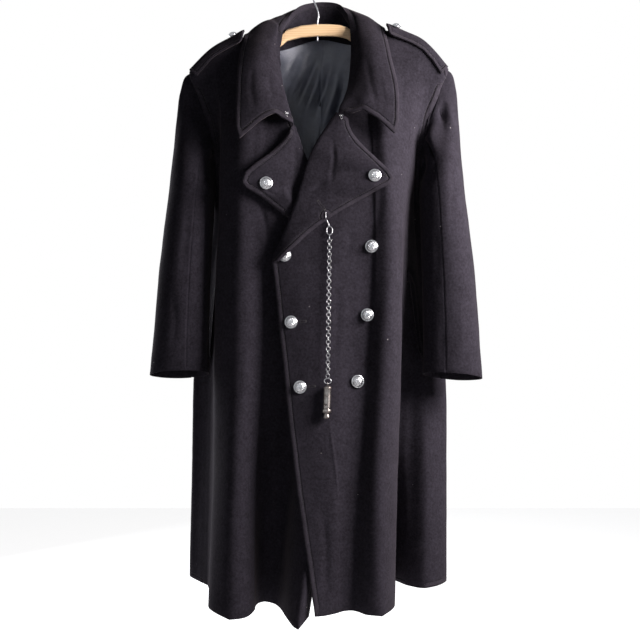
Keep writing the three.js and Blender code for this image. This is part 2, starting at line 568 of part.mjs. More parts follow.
function sleeveGrid(marks, frontFirst, table, side) {
  const columns = armhole(marks, frontFirst).map((seam, i) => {
    const share = i / SLEEVE_COLUMNS;
    const sections = table.map((row) => sleeveSection(row, side, share));
    const top = Math.abs(2 * share - 1) ** 1.5; // 1 at the shoulder, 0 under the arm
    const away = new THREE.Vector3(side * lerp(0.6, 0.8, top), -0.3 * Math.sin(2 * Math.PI * share),
      -lerp(0.75, 0.62, top))
      .normalize();
    const low = Math.max(0, Math.sin(2 * Math.PI * share), -Math.cos(2 * Math.PI * share));
    const first = seam.clone().addScaledVector(away, SEAM * lerp(4.2, 6, low));
    first.x += side * SEAM * lerp(0.2, 3.2, low);
    const rise = sections[0].clone().sub(sections[1]).normalize().multiplyScalar(lerp(12, 150, top));
    const head = new THREE.CubicBezierCurve3(first, first.clone().addScaledVector(away, lerp(8, 30, top)),
      sections[0].clone().add(rise), sections[0]);
    const arm = through(sections);
    return SLEEVE_ROWS.map((row) => (row <= 1 ? head.getPoint(row)
      : arm.getPoint((row - 1) / (table.length - 1))));
  });
  const drawn = SLEEVE_ROWS.map((_, j) => columns.map((column) => column[j]));
  const wayOut = (rows) => (
    gridOutward(rows.map((row) => [row[SLEEVE_COLUMNS - 1], ...row, row[0]]), -side)
      .map((row) => row.slice(1, -1)));
  const facing = wayOut(drawn);
  const points = drawn.map((row, j) => row.map((point, i) => (
    j > 1 && point.z > LEVEL.waist ? clearOf(point, facing[j][i], CLOTH + SEAM * 2, SEAM * 5) : point)));
  return { points, outward: wayOut(points) };
}

// The columns of a sleeve from one seam to the next, standing back from both seams.
function sleevePiece(grid, from, to) {
  const pick = (rows) => rows.map((row) => [...Array(to - from + 1)].map((_,
    k) => row[(from + k) % SLEEVE_COLUMNS].clone()));
  const points = pick(grid.points);
  const outward = pick(grid.outward);
  points.forEach((row, j) => {
    const end = row.length - 1;
    const back = j < 4 ? SEAM * 5 : SEAM * 0.6; // more at the armhole, where the seam turns sharply
    const [first, last] = [row[1].clone().sub(row[0]).normalize(),
      row[end - 1].clone().sub(row[end]).normalize()];
    row[0].addScaledVector(first, back);
    row[end].addScaledVector(last, back);
  });
  return clothSolid(points, outward, CLOTH);
}
const leftSleeve = sleeveGrid(LEFT, false, SLEEVE_L, 1);
const rightSleeve = sleeveGrid(RIGHT, true, SLEEVE_R, -1);

// ---- Lapels ----
// The leaf starts in front of its panel's edge, curls round the roll line and lies back on the panel.
// Where it runs under a cover it stays behind the cover's cloth.
function lapelGrid(table, from, to, grids, cover) {
  const alongCount = 20;
  const rows = [];
  for (let j = 0; j <= alongCount; j++) {
    const share = j / alongCount;
    const line = lerp(from, to, lerp(0.012, 0.995, share));
    const roll = bodyPoint(line, 0);
    const out = bodyOutward(line, 0);
    const edge = tableAt(table, "edge", share);
    const stand = numberAt(table, "stand", share);
    const ground = frontAt(grids, edge.x, edge.z) ?? roll.y;
    edge.y = ground - stand;
    const across = new THREE.Vector3(edge.x - roll.x, 0, edge.z - roll.z);
    const width = across.length();
    across.divideScalar(width);
    const turn = Math.min(LAPEL_TURN, width / 3);
    const start = roll.clone().addScaledVector(out, SEAM);
    const crest = start.y - turn;
    const row = [
      start.clone().addScaledVector(across, 3),
      start.clone().addScaledVector(across, -turn * 0.45).setY(lerp(start.y, crest, 0.45)),
      start.clone().addScaledVector(across, turn * 0.15).setY(crest),
    ];
    const steps = 6;
    for (let k = 1; k <= steps; k++) {
      const t = k / steps;
      const x = lerp(row[2].x, edge.x, t);
      const z = lerp(row[2].z, edge.z, t);
      const under = frontAt(grids, x, z);
      const straight = lerp(crest, edge.y, t) - 4 * Math.sin(Math.PI * t);
      const y = under === null ? straight : Math.min(straight, under - LEAF - SEAM - 1);
      const over = cover && [0, 8, 16].map((away) => frontAt(cover, x + away, z))
        .find((value) => value !== null);
      row.push(new THREE.Vector3(x, over ? Math.max(y, over + CLOTH + 2.8) : y, z));
    }
    rows.push(row);
  }
  return rows;
}

const rightLapel = lapelGrid(LAPEL_R, RIGHT.gorge, 0, [rightFront.points], [leftFront.points]);
const leftLapel = lapelGrid(LAPEL_L, LEFT.gorge, LAST_LINE, [leftFront.points]);

// ---- Collar ----
function neckSeam() {
  const points = [];
  const add = (from, to, steps) => {
    for (let k = 0; k <= steps; k++) {
      const line = lerp(from, to, k / steps);
      const point = bodyPoint(line, 0);
      points.push({ point, away: point.clone().sub(bodyPoint(line, 0.02)).normalize() });
    }
  };
  add(RIGHT.gorge, RIGHT.neck, 24);
  add(RIGHT.backNeck, LEFT.backNeck, 48);
  add(LEFT.neck, LEFT.gorge, 24);
  let length = 0;
  points.forEach((p, k) => {
    if (k) length += p.point.distanceTo(points[k - 1].point);
    p.length = length;
  });
  return { points, length };
}
const NECK = neckSeam();
const seamAt = (share) => NECK.points.reduce((a, b) => (
  Math.abs(b.length - share * NECK.length) < Math.abs(a.length - share * NECK.length) ? b : a));

// One row of the collar from its foot on the neck seam, up the stand, over the fold and down the fall.
function collarGrid() {
  const rows = [];
  for (const share of COLLAR_ROWS) {
    const [fold, turn, middle, edge] = ["fold", "turn", "middle",
      "edge"].map((column) => tableAt(COLLAR, column, share));
    const seam = seamAt(lerp(0.014, 0.986, share));
    const inward = new THREE.Vector3(-fold.x, -fold.y, 0).normalize();
    const outside = turn.clone().sub(fold).normalize();
    const inner = fold.clone().addScaledVector(inward, ROLL).setZ(fold.z - 3);
    const behind = seam.point.clone().addScaledVector(inward, CLOTH + LEAF + SEAM * 2)
      .setZ(seam.point.z + SEAM * 3);
    const beside = seam.point.clone().addScaledVector(seam.away, LEAF + SEAM * 7)
      .addScaledVector(inward, SEAM);
    const foot = beside.lerp(behind, smooth(Math.min(1, Math.min(share, 1 - share) / 0.26)));
    const over = fold.clone().addScaledVector(outside, ROLL * 1.6).addScaledVector(inward, -1.5);
    const fall = through([over, turn, middle, edge]);
    const away = outside.clone().setZ(0.6).normalize();
    const lying = [0.25, 0.45, 0.64, 0.82, 1].map((t) => clearOf(fall.getPoint(t), away, LEAF + 2,
      LEAF + 2));
    rows.push([foot, foot.clone().lerp(inner, 0.5), inner, fold.clone(), over, ...lying]);
  }
  return rows;
}
const collar = collarGrid();

// ---- Lining of the upper back, as far as the open neck shows it ----
function liningGrid() {
  const from = lineNumber(BACK_RIGHT, "blade ridge", BACK_START);
  const to = lineNumber(BACK_LEFT, "blade ridge", CENTRE + 1);
  const lines = [...backRight.columns, ...backLeft.columns.slice(1)].filter((line) => line >= from
    && line <= to);
  const top = (line) => lerp(0.007, 0.04, smooth(Math.min(1, Math.abs(line - CENTRE) / 2.5)));
  const [start, end] = [4, BODY_ROWS.findIndex((down) => down > 0.36)];
  const downs = (line) => [top(line), (top(line) + BODY_ROWS[start]) / 2, ...BODY_ROWS.slice(start, end)];
  const each = (make) => downs(0).map((_, j) => lines.map((line) => make(line, downs(line)[j])));
  return {
    points: each((line, down) => bodyPoint(line, down)
      .addScaledVector(bodyOutward(line, down), -CLOTH - 3)),
    outward: each(bodyOutward),
  };
}
const lining = liningGrid();

// ---- Shoulder straps ----
// along runs 0 at the neck to 4 at the sleeve head, across is millimetres from the seam, back positive.
function shoulderAt(side, along, across) {
  const mark = side > 0 ? LEFT : RIGHT;
  const line = across < 0 ? mark.neck - side * along : mark.backNeck + side * along;
  return bodyPoint(line, Math.abs(across) / FOLD_LINES[Math.round(line)].getLength());
}
const STRAP_L = { side: 1, tip: 1.06, button: { along: 1.62, across: -11 } };
const STRAP_R = { side: -1, tip: 1.34, button: { along: 1.98, across: -11 } };
// Share of the way to the sleeve head, share of the full width, lift off the shoulder.
const STRAP_SECTIONS = [
  { at: 0, width: 0.42, lift: 9 },
  { at: 0.05, width: 0.82, lift: 8.4 },
  { at: 0.11, width: 1, lift: 7 },
  { at: 0.22, width: 1, lift: 4.2 },
  { at: 0.36, width: 1, lift: 1.6 },
  { at: 0.52, width: 1, lift: 0.4 },
  { at: 0.68, width: 1, lift: 0 },
  { at: 0.84, width: 1, lift: 0 },
  { at: 1, width: 1, lift: 0 },
];
const STRAP_ACROSS = [-34, -25, -16, -8, 0, 7, 14]; // front edge to back edge, with a column on the seam

function strapGrid(strap) {
  const middle = (STRAP_ACROSS[0] + STRAP_ACROSS[STRAP_ACROSS.length - 1]) / 2;
  const ground = STRAP_SECTIONS.map(({ at, width }) => (
    STRAP_ACROSS.map((across) => shoulderAt(strap.side, lerp(strap.tip, 3.95, at),
      middle + (across - middle) * width))));
  const upward = gridOutward(ground, -strap.side);
  const points = ground.map((row, j) => row.map((point, i) => (
    clearOf(point.clone().addScaledVector(upward[j][i], STRAP + 0.8 + STRAP_SECTIONS[j].lift),
      upward[j][i], STRAP + 0.8, 0))));
  return { points, outward: upward };
}
const strapLeft = strapGrid(STRAP_L);
const strapRight = strapGrid(STRAP_R);

// ---- Welts of the slanting hand pockets ----
const WELT_L = { lines: [LEFT.side, LEFT.point + 1.6], edge: [{ x: 182, z: -598 }, { x: 206, z: -762 }],
  width: 44, turn: -1 };
const WELT_R = { lines: [RIGHT.side, RIGHT.point - 0.6],
  edge: [{ x: -210, z: -616 }, { x: -224, z: -780 }], width: 44, turn: 1 };
function weltGrid(welt) {
  const rows = 6;
  const columns = 4;
  const grid = [...Array(rows + 1)].map((_, j) => {
    const x = lerp(welt.edge[0].x, welt.edge[1].x, j / rows);
    const z = lerp(welt.edge[0].z, welt.edge[1].z, j / rows);
    let [near, far] = [welt.lines[1], welt.lines[0]];
    let down = 0.4;
    for (let step = 0; step < 40; step++) {
      const line = (near + far) / 2;
      for (let k = 0; k < 4; k++) down += (bodyPoint(line, down).z - z) / 1160;
      if (Math.abs(bodyPoint(line, down).x) < Math.abs(x)) near = line; else far = line;
    }
    const row = [];
    let line = near;
    for (let i = 0; i <= columns; i++) {
      row.push({ point: bodyPoint(line, down), out: bodyOutward(line, down) });
      const span = bodyPoint(line, down).distanceTo(bodyPoint(line + 0.05 * welt.turn, down));
      line += (0.05 * welt.turn * welt.width) / columns / span;
    }
    return row;
  });
  return {
    points: grid.map((row) => row.map(({ point, out }) => point.addScaledVector(out, WELT + SEAM * 2))),
    outward: grid.map((row) => row.map(({ out }) => out)),
  };
}
const weltLeft = weltGrid(WELT_L);
const weltRight = weltGrid(WELT_R);

// ---- Buttons ----
// Share of the radius, height.
const DOME = [[0.9, 0], [1, 0.9], [1, 1.9], [0.84, 4.6], [0.52, 7], [0.18, 8.2]];
function dome(radius, height, sides) {
  const scale = height / DOME[DOME.length - 1][1];
  return loftSolid(DOME.map(([share, z]) => [...Array(sides)].map((_, i) => {
    const turn = (2 * Math.PI * i) / sides;
    return new THREE.Vector3(radius * share * Math.cos(turn), radius * share * Math.sin(turn), z * scale);
  })));
}

// Sets a piece that stands along +Z on a front surface at x, z, clear of the cloth under its whole base.
function seatedOn(grids, [x, z], radius, geometry) {
  const y = (dx, dz) => frontAt(grids, x + dx, z + dz);
  const point = new THREE.Vector3(x, y(0, 0), z);
  const normal = new THREE.Vector3((y(4, 0) - y(-4, 0)) / 8, -1, (y(0, 4) - y(0, -4)) / 8).normalize();
  const turn = new THREE.Quaternion().setFromUnitVectors(new THREE.Vector3(0, 0, 1), normal);
  let rise = 0;
  for (const share of [0.5, 1]) {
    for (let i = 0; i < 16; i++) {
      const place = new THREE.Vector3(Math.cos(i * Math.PI / 8), Math.sin(i * Math.PI / 8), 0)
        .multiplyScalar(radius * share).applyQuaternion(turn).add(point);
      const ground = frontAt(grids, place.x, place.z);
      if (ground !== null) rise = Math.max(rise,
        new THREE.Vector3(place.x, ground, place.z).sub(point).dot(normal));
    }
  }
  const seat = point.addScaledVector(normal, rise + 0.2);
  return geometry.applyMatrix4(new THREE.Matrix4().compose(seat, turn, new THREE.Vector3(1, 1, 1)));
}
const BUTTONS = [
  { name: "button_lapel_right", at: [-102, -430], on: [rightLapel] },
  { name: "button_lapel_left", at: [112, -415], on: [leftLapel] },
  { name: "button_right_top", at: [-65.5, -572], on: [leftFront.points] },
  { name: "button_right_middle", at: [-53, -704], on: [leftFront.points] },
  { name: "button_right_bottom", at: [-35, -831], on: [leftFront.points] },
  { name: "button_left_top", at: [107, -554], on: [leftFront.points] },
  { name: "button_left_middle", at: [98, -690], on: [leftFront.points] },
  { name: "button_left_bottom", at: [78, -821], on: [leftFront.points] },
];
const BUTTON_HEIGHT = 8.4;

function strapButton(strap, grid) {
  const { along, across } = strap.button;
  const share = (along - strap.tip) / (3.95 - strap.tip);
  const j = STRAP_SECTIONS.findIndex((row) => row.at > share);
  const rest = (share - STRAP_SECTIONS[j - 1].at) / (STRAP_SECTIONS[j].at - STRAP_SECTIONS[j - 1].at);
  const i = STRAP_ACROSS.findIndex((edge) => edge > across) - 1;
  const part = (across - STRAP_ACROSS[i]) / (STRAP_ACROSS[i + 1] - STRAP_ACROSS[i]);
  const mix = (rows) => rows[j - 1][i].clone().lerp(rows[j - 1][i + 1], part)
    .lerp(rows[j][i].clone().lerp(rows[j][i + 1], part), rest);
  const normal = mix(grid.outward).normalize();
  const turn = new THREE.Quaternion().setFromUnitVectors(new THREE.Vector3(0, 0, 1), normal);
  const seat = mix(grid.points).addScaledVector(normal, 1.9);
  return dome(SMALL_BUTTON_R, 6.4, 10).applyMatrix4(new THREE.Matrix4().compose(seat, turn,
    new THREE.Vector3(1, 1, 1)));
}

// ---- Hanger ----
const HANGER = { half: 208, setBack: 4.8, bore: 2.15, wire: 1.75, hook: 17.75, wireX: -1.4 };
// The open middle, x with the height of its top; beyond it the wood carries the shoulders.
const HANGER_ARCH = [
  [-91, -112.5], [-81, -108], [-73, -102], [-65, -94.5], [-35, -86], [-3, -RAIL_TO_WOOD], [24, -83.4],
    [46, -85.2],
  [60, -89.5], [68, -95], [77, -99], [87, -101],
];
const WOOD_SECTION = [[0, 0], [3.2, -1.2], [5.5, -4.2], [5.5, -21], [3.4, -25.4], [-3.4, -25.4],
  [-5.5, -21], [-5.5, -4.2], [-3.2, -1.2]];

// Height of the cloth's inner face along a shoulder seam.
function shoulderInside(x) {
  const [from, to] = x < 0 ? [RIGHT.neck, RIGHT.point] : [LEFT.neck, LEFT.point];
  const inside = [...Array(41)].map((_, k) => {
    const line = lerp(from, to, k / 40);
    return bodyPoint(line, 0).addScaledVector(bodyOutward(line, 0).setY(0).normalize(), -CLOTH);
  });
  const k = inside.findIndex((p, n) => n && Math.abs(p.x) > Math.abs(x));
  return lerp(inside[k - 1].z, inside[k].z, (x - inside[k - 1].x) / (inside[k].x - inside[k - 1].x));
}

function hangerWood() {
  const carried = [0.48, 0.6, 0.72, 0.85, 1].map((share) => share * HANGER.half);
  const under = (x) => shoulderInside(x) - lerp(1.2, 3, Math.abs(x) / HANGER.half);
  const top = [
    ...carried.map((x) => [-x, under(-x)]).reverse(),
    ...HANGER_ARCH,
    ...carried.map((x) => [x, under(x)]),
  ];
  const depth = (x) => 1 - 0.3 * smooth(Math.min(1, Math.abs(x) / HANGER.half));
  const back = (x) => HANGER.setBack * (1 - smooth(Math.min(1, Math.max(0, Math.abs(x) - 85) / 80)));
  const arms = loftSolid(top.map(([x, z]) => (
    WOOD_SECTION.map(([y, dz]) => new THREE.Vector3(x, y + back(x), z + dz * depth(x))))));
  const bore = new THREE.CylinderGeometry(HANGER.bore, HANGER.bore, 60, 8).rotateX(Math.PI / 2)
    .translate(HANGER.wireX, HANGER.setBack, -RAIL_TO_WOOD - 10);
  return combined("subtract", arms, bore);
}

function hangerHook() {
  const round = (degrees) => {
    const turn = THREE.MathUtils.degToRad(degrees);
    return new THREE.Vector3(HANGER.hook * Math.cos(turn), 0, HANGER.hook * Math.sin(turn));
  };
  const x = HANGER.wireX;
  return wire(through([
    ...[-119, -102, -84].map((z) => new THREE.Vector3(x, HANGER.setBack, z)),
    new THREE.Vector3(0.5, 3, -62), new THREE.Vector3(-4.5, 1.4, -46), new THREE.Vector3(-11, 0.3, -32),
    round(212), round(180), round(145), round(110), round(75), round(40), round(5), round(-32),
  ]), HANGER.wire, 34, 6);
}

// ---- Lapel hook with its ring, whistle chain and whistle ----
// An oval ring of wire about a centre, in the plane of two directions.
function ovalRing(centre, side, halfSide, along, halfAlong, radius, steps = 14, sides = 6) {
  const curve = new THREE.CatmullRomCurve3([...Array(16)].map((_, i) => {
    const turn = (Math.PI * i) / 8;
    return centre.clone().addScaledVector(side, halfSide * Math.cos(turn))
      .addScaledVector(along, halfAlong * Math.sin(turn));
  }), true);
  const plane = side.clone().cross(along).normalize();
  const rings = [...Array(steps)].map((_, k) => {
    const point = curve.getPoint(k / steps);
    const normal = curve.getTangent(k / steps).cross(plane).normalize();
    return [...Array(sides)].map((__, i) => {
      const turn = (2 * Math.PI * i) / sides;
      return point.clone().addScaledVector(normal, radius * Math.cos(turn))
        .addScaledVector(plane, radius * Math.sin(turn));
    });
  });
  const index = [];
  for (let k = 0; k < steps; k++) {
    for (let i = 0; i < sides; i++) {
      const [a, b] = [k * sides + i, k * sides + ((i + 1) % sides)];
      const [c, d] = [((k + 1) % steps) * sides + i, ((k + 1) % steps) * sides + ((i + 1) % sides)];
      index.push(a, b, d, a, d, c);
    }
  }
  return facingOut(rings.flat().flatMap((p) => [p.x, p.y, p.z]), index);
}

// A turned piece along a direction: rows of distance and radius.
function turned(origin, direction, profile, sides) {
  const side = new THREE.Vector3(1, 0, 0).addScaledVector(direction, -direction.x).normalize();
  const third = direction.clone().cross(side);
  return loftSolid(profile.map(([distance, radius]) => [...Array(sides)].map((_, i) => {
    const turn = (2 * Math.PI * (i + 0.5)) / sides;
    return origin.clone().addScaledVector(direction, distance)
      .addScaledVector(side, radius * Math.cos(turn)).addScaledVector(third, radius * Math.sin(turn));
  })));
}
const acrossX = new THREE.Vector3(1, 0, 0);
const leftPanelY = (x, z) => frontAt([leftFront.points], x, z);
const HOOK = { x: 15.3, top: -488, bottom: -500, hole: -494, holeR: 1.5, wire: 1 };
const RING = { x: 22.8, top: -515, bottom: -532, half: 5.75, wire: 1 };
const CHAIN = { endX: 19, endZ: -824, standOff: 10.6, radius: 2.6, link: 0.8, linkHalf: [2.5, 4.2] };
const WHISTLE_RING = { half: [6.8, 5.2], wire: 1 };
const WHISTLE_PROFILE = [ // distance below the ring, radius
  [3.2, 2.2], [4.4, 5.6], [7, 7.7], [9.6, 7.9], [10.6, 7.4], [47.6, 7.4], [49, 6.4], [50.6, 9],
    [56.6, 9], [58.6, 5.4],
  [60, 5.4], [61, 6.1], [66.6, 6.1], [67.6, 5.2],
];
const leafY = frontAt([leftLapel], HOOK.x, HOOK.hole);
const ringTop = new THREE.Vector3(RING.x, leftPanelY(RING.x, RING.top) - 2.6, RING.top);
const chainPivot = new THREE.Vector3(RING.x, leftPanelY(RING.x, RING.bottom) - 5, RING.bottom);
const whistlePivot = new THREE.Vector3(CHAIN.endX, leftPanelY(CHAIN.endX, CHAIN.endZ) - CHAIN.standOff,
  CHAIN.endZ);
const chainWay = whistlePivot.clone().sub(chainPivot).normalize();
const whistleWay = new THREE.Vector3(-2.3, leftPanelY(16.5, -892) - leftPanelY(19, -829),
  -63).normalize();

function lapelHook() {
  const front = leafY - HOOK.wire - 0.3;
  const bar = wire(through([new THREE.Vector3(HOOK.x, front, HOOK.top),
    new THREE.Vector3(HOOK.x, front, HOOK.bottom)]),
    HOOK.wire, 1, 6);
  const stem = wire(through([
    new THREE.Vector3(HOOK.x, front, HOOK.hole), new THREE.Vector3(HOOK.x, leafY + LEAF + 1, HOOK.hole),
    new THREE.Vector3(HOOK.x + 1.5, leafY + LEAF + 1.9, HOOK.hole - 6), ringTop,
  ]), HOOK.wire * 0.9, 10, 6);
  const half = (RING.top - RING.bottom) / 2;
  const hang = chainPivot.clone().sub(ringTop).normalize();
  return combined("add", bar, stem,
    ovalRing(ringTop.clone().lerp(chainPivot, 0.5), acrossX, RING.half, hang, half, RING.wire));
}

function whistleChain() {
  const rise = RING.wire + CHAIN.link + 0.8;
  const sideways = acrossX.clone().cross(chainWay).normalize();
  const length = chainPivot.distanceTo(whistlePivot);
  const ringDrop = 2 * WHISTLE_RING.half[1];
  return combined("add",
    ovalRing(chainPivot.clone().addScaledVector(chainWay, CHAIN.linkHalf[1] - rise), sideways,
      CHAIN.linkHalf[0],
      chainWay, CHAIN.linkHalf[1], CHAIN.link, 10, 6),
    turned(chainPivot, chainWay, [[5.4, 1.4], [7, CHAIN.radius], [length - ringDrop - 2, CHAIN.radius],
      [length - ringDrop + 0.4, 1.4]], 7),
    ovalRing(whistlePivot.clone().addScaledVector(chainWay, -WHISTLE_RING.half[1]), acrossX,
      WHISTLE_RING.half[0],
      chainWay, WHISTLE_RING.half[1], WHISTLE_RING.wire, 14, 6));
}

function whistle() {
  const rise = WHISTLE_RING.wire + CHAIN.link + 0.3;
  const sideways = acrossX.clone().cross(whistleWay).normalize();
  return combined("add",
    ovalRing(whistlePivot.clone().addScaledVector(whistleWay, 3.2 - rise), sideways, 2.6, whistleWay,
      3.2, CHAIN.link, 10, 6),
    turned(whistlePivot, whistleWay, WHISTLE_PROFILE, 10));
}

const hookHole = new THREE.CylinderGeometry(HOOK.holeR, HOOK.holeR, 16, 6)
  .translate(HOOK.x, leafY, HOOK.hole);

// ---- The tree of named meshes ----
const COLOURS = {
  wool: new THREE.MeshStandardMaterial({ name: "wool", color: 0x1d1b1f, roughness: 0.95, metalness: 0 }),
  lining: new THREE.MeshStandardMaterial({ name: "lining", color: 0x23262c, roughness: 0.55,
    metalness: 0 }),
  nickel: new THREE.MeshStandardMaterial({ name: "nickel", color: 0xb9b9bd, roughness: 0.3,
    metalness: 1 }),
  whistle: new THREE.MeshStandardMaterial({ name: "whistle", color: 0x8d857a, roughness: 0.35,
    metalness: 1 }),
  wood: new THREE.MeshStandardMaterial({ name: "wood", color: 0xd9a66b, roughness: 0.6, metalness: 0 }),
};
const overcoat = new THREE.Group();
function add(name, geometry, material) {
  const mesh = new THREE.Mesh(geometry, material);
  mesh.name = name;
  overcoat.add(mesh);
  return mesh;
}

add("front_right", rightFront.geometry, COLOURS.wool);
add("front_left", leftFront.geometry, COLOURS.wool);
add("back_right", backRight.geometry, COLOURS.wool);
add("back_left", backLeft.geometry, COLOURS.wool);
add("under_sleeve_right", sleevePiece(rightSleeve, FOREARM_SEAM, HINDARM_SEAM), COLOURS.wool);
add("top_sleeve_right", sleevePiece(rightSleeve, HINDARM_SEAM, FOREARM_SEAM + SLEEVE_COLUMNS),
  COLOURS.wool);
add("under_sleeve_left", sleevePiece(leftSleeve, FOREARM_SEAM, HINDARM_SEAM), COLOURS.wool);
add("top_sleeve_left", sleevePiece(leftSleeve, HINDARM_SEAM, FOREARM_SEAM + SLEEVE_COLUMNS),
  COLOURS.wool);
add("lapel_right", clothSolid(rightLapel, gridOutward(rightLapel, 1), LEAF), COLOURS.wool);
add("lapel_left", combined("subtract", clothSolid(leftLapel, gridOutward(leftLapel, -1), LEAF),
  hookHole), COLOURS.wool);
add("collar", clothSolid(collar, gridOutward(collar, -1), LEAF), COLOURS.wool);
add("shoulder_strap_right", clothSolid(strapRight.points, strapRight.outward, STRAP), COLOURS.wool);
add("shoulder_strap_left", clothSolid(strapLeft.points, strapLeft.outward, STRAP), COLOURS.wool);
add("pocket_welt_right", clothSolid(weltRight.points, weltRight.outward, WELT), COLOURS.wool);
add("pocket_welt_left", clothSolid(weltLeft.points, weltLeft.outward, WELT), COLOURS.wool);
add("back_lining", clothSolid(lining.points, lining.outward, LINING), COLOURS.lining);
for (const { name, at, on } of BUTTONS) {
  add(name, seatedOn(on, at, BUTTON_R, dome(BUTTON_R, BUTTON_HEIGHT, 12)), COLOURS.nickel);
}
add("button_strap_right", strapButton(STRAP_R, strapRight), COLOURS.nickel);
add("button_strap_left", strapButton(STRAP_L, strapLeft), COLOURS.nickel);
add("hanger_wood", hangerWood(), COLOURS.wood);
add("hanger_hook", hangerHook(), COLOURS.nickel);
add("lapel_hook", lapelHook(), COLOURS.nickel);
add("whistle_chain", whistleChain(), COLOURS.nickel);
add("whistle", whistle(), COLOURS.whistle);

export default overcoat;
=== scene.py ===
"""The looks of a long double-breasted police overcoat on a wooden hanger.

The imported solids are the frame. Each cut piece of cloth becomes a fine sheet on its solid's form, with
soft creases, rolled edges and rows of stitches, and each hard piece is modelled at its solid's place.
Lengths are metres. +X is the wearer's left, the front of the coat faces -Y, and +Z is up.
"""

import logging
import math
from dataclasses import dataclass
from enum import Enum
from typing import Callable, ClassVar, Iterable, Sequence

import bmesh
import bpy
import numpy as np
from mathutils import Matrix, Vector, noise
from mathutils.bvhtree import BVHTree
from mathutils.kdtree import KDTree


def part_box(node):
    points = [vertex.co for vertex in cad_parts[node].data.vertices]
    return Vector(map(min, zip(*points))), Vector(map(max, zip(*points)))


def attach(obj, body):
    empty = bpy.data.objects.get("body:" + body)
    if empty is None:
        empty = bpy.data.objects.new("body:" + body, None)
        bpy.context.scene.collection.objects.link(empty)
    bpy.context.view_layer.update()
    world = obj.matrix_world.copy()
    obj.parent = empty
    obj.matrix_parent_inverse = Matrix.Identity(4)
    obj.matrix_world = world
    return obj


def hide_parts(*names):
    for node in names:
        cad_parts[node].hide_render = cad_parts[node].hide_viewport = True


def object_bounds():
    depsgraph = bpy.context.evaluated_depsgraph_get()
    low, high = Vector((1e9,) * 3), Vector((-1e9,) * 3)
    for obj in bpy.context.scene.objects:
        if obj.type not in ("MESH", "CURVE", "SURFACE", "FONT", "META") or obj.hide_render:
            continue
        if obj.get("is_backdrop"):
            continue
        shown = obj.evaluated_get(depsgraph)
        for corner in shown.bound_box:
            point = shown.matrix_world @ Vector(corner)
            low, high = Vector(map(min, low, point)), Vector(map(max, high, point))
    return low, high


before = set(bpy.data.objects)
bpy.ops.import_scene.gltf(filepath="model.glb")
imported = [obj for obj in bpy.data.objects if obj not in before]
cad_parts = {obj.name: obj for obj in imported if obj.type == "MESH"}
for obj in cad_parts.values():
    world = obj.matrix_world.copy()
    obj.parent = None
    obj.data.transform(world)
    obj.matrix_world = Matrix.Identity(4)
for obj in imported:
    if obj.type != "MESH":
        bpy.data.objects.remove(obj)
SOLID_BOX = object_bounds()

Piece, Mesh, Material = bpy.types.Object, bpy.types.Mesh, bpy.types.Material
Node, Socket = bpy.types.Node, bpy.types.NodeSocket
Colour = tuple[float, float, float]

LOG = logging.getLogger("overcoat")
MM = 0.001
NODES: dict[str, Piece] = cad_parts
COAT, CHAIN, WHISTLE = "coat", "chain", "whistle"
CUT_EDGE = math.radians(58)  # between a solid's face and its cut wall
CORNER = math.radians(72)  # where a cut edge turns so far that it stays a corner
SEWN_GAP = 3.4 * MM  # a cut edge as near as this to another piece's is sewn to it
WALL_REACH = 5 * MM  # the smooth surface's cut edge lies no further than this from the solid's
SEAM_GIVE, SEAM_GAP, OVERLAP = 16 * MM, 8 * MM, 0.3 * MM  # how cloth is drawn to its seam
SHARP_CORNER = math.radians(50)  # a wall's edge is sharper than any fold of the cloth
DOUBLE = 0.01 * MM  # points closer than this are one point
FAR = 1.0  # stands for "no such edge near here" in the distance attributes
BAND = 9.5 * MM  # from a finished edge to its row of stitches
ROLL_WIDTH = 13.0  # millimetres to each side of a line where the cloth turns over
NOISE_SEED = 7  # so that the cloth's unevenness is the same on every run


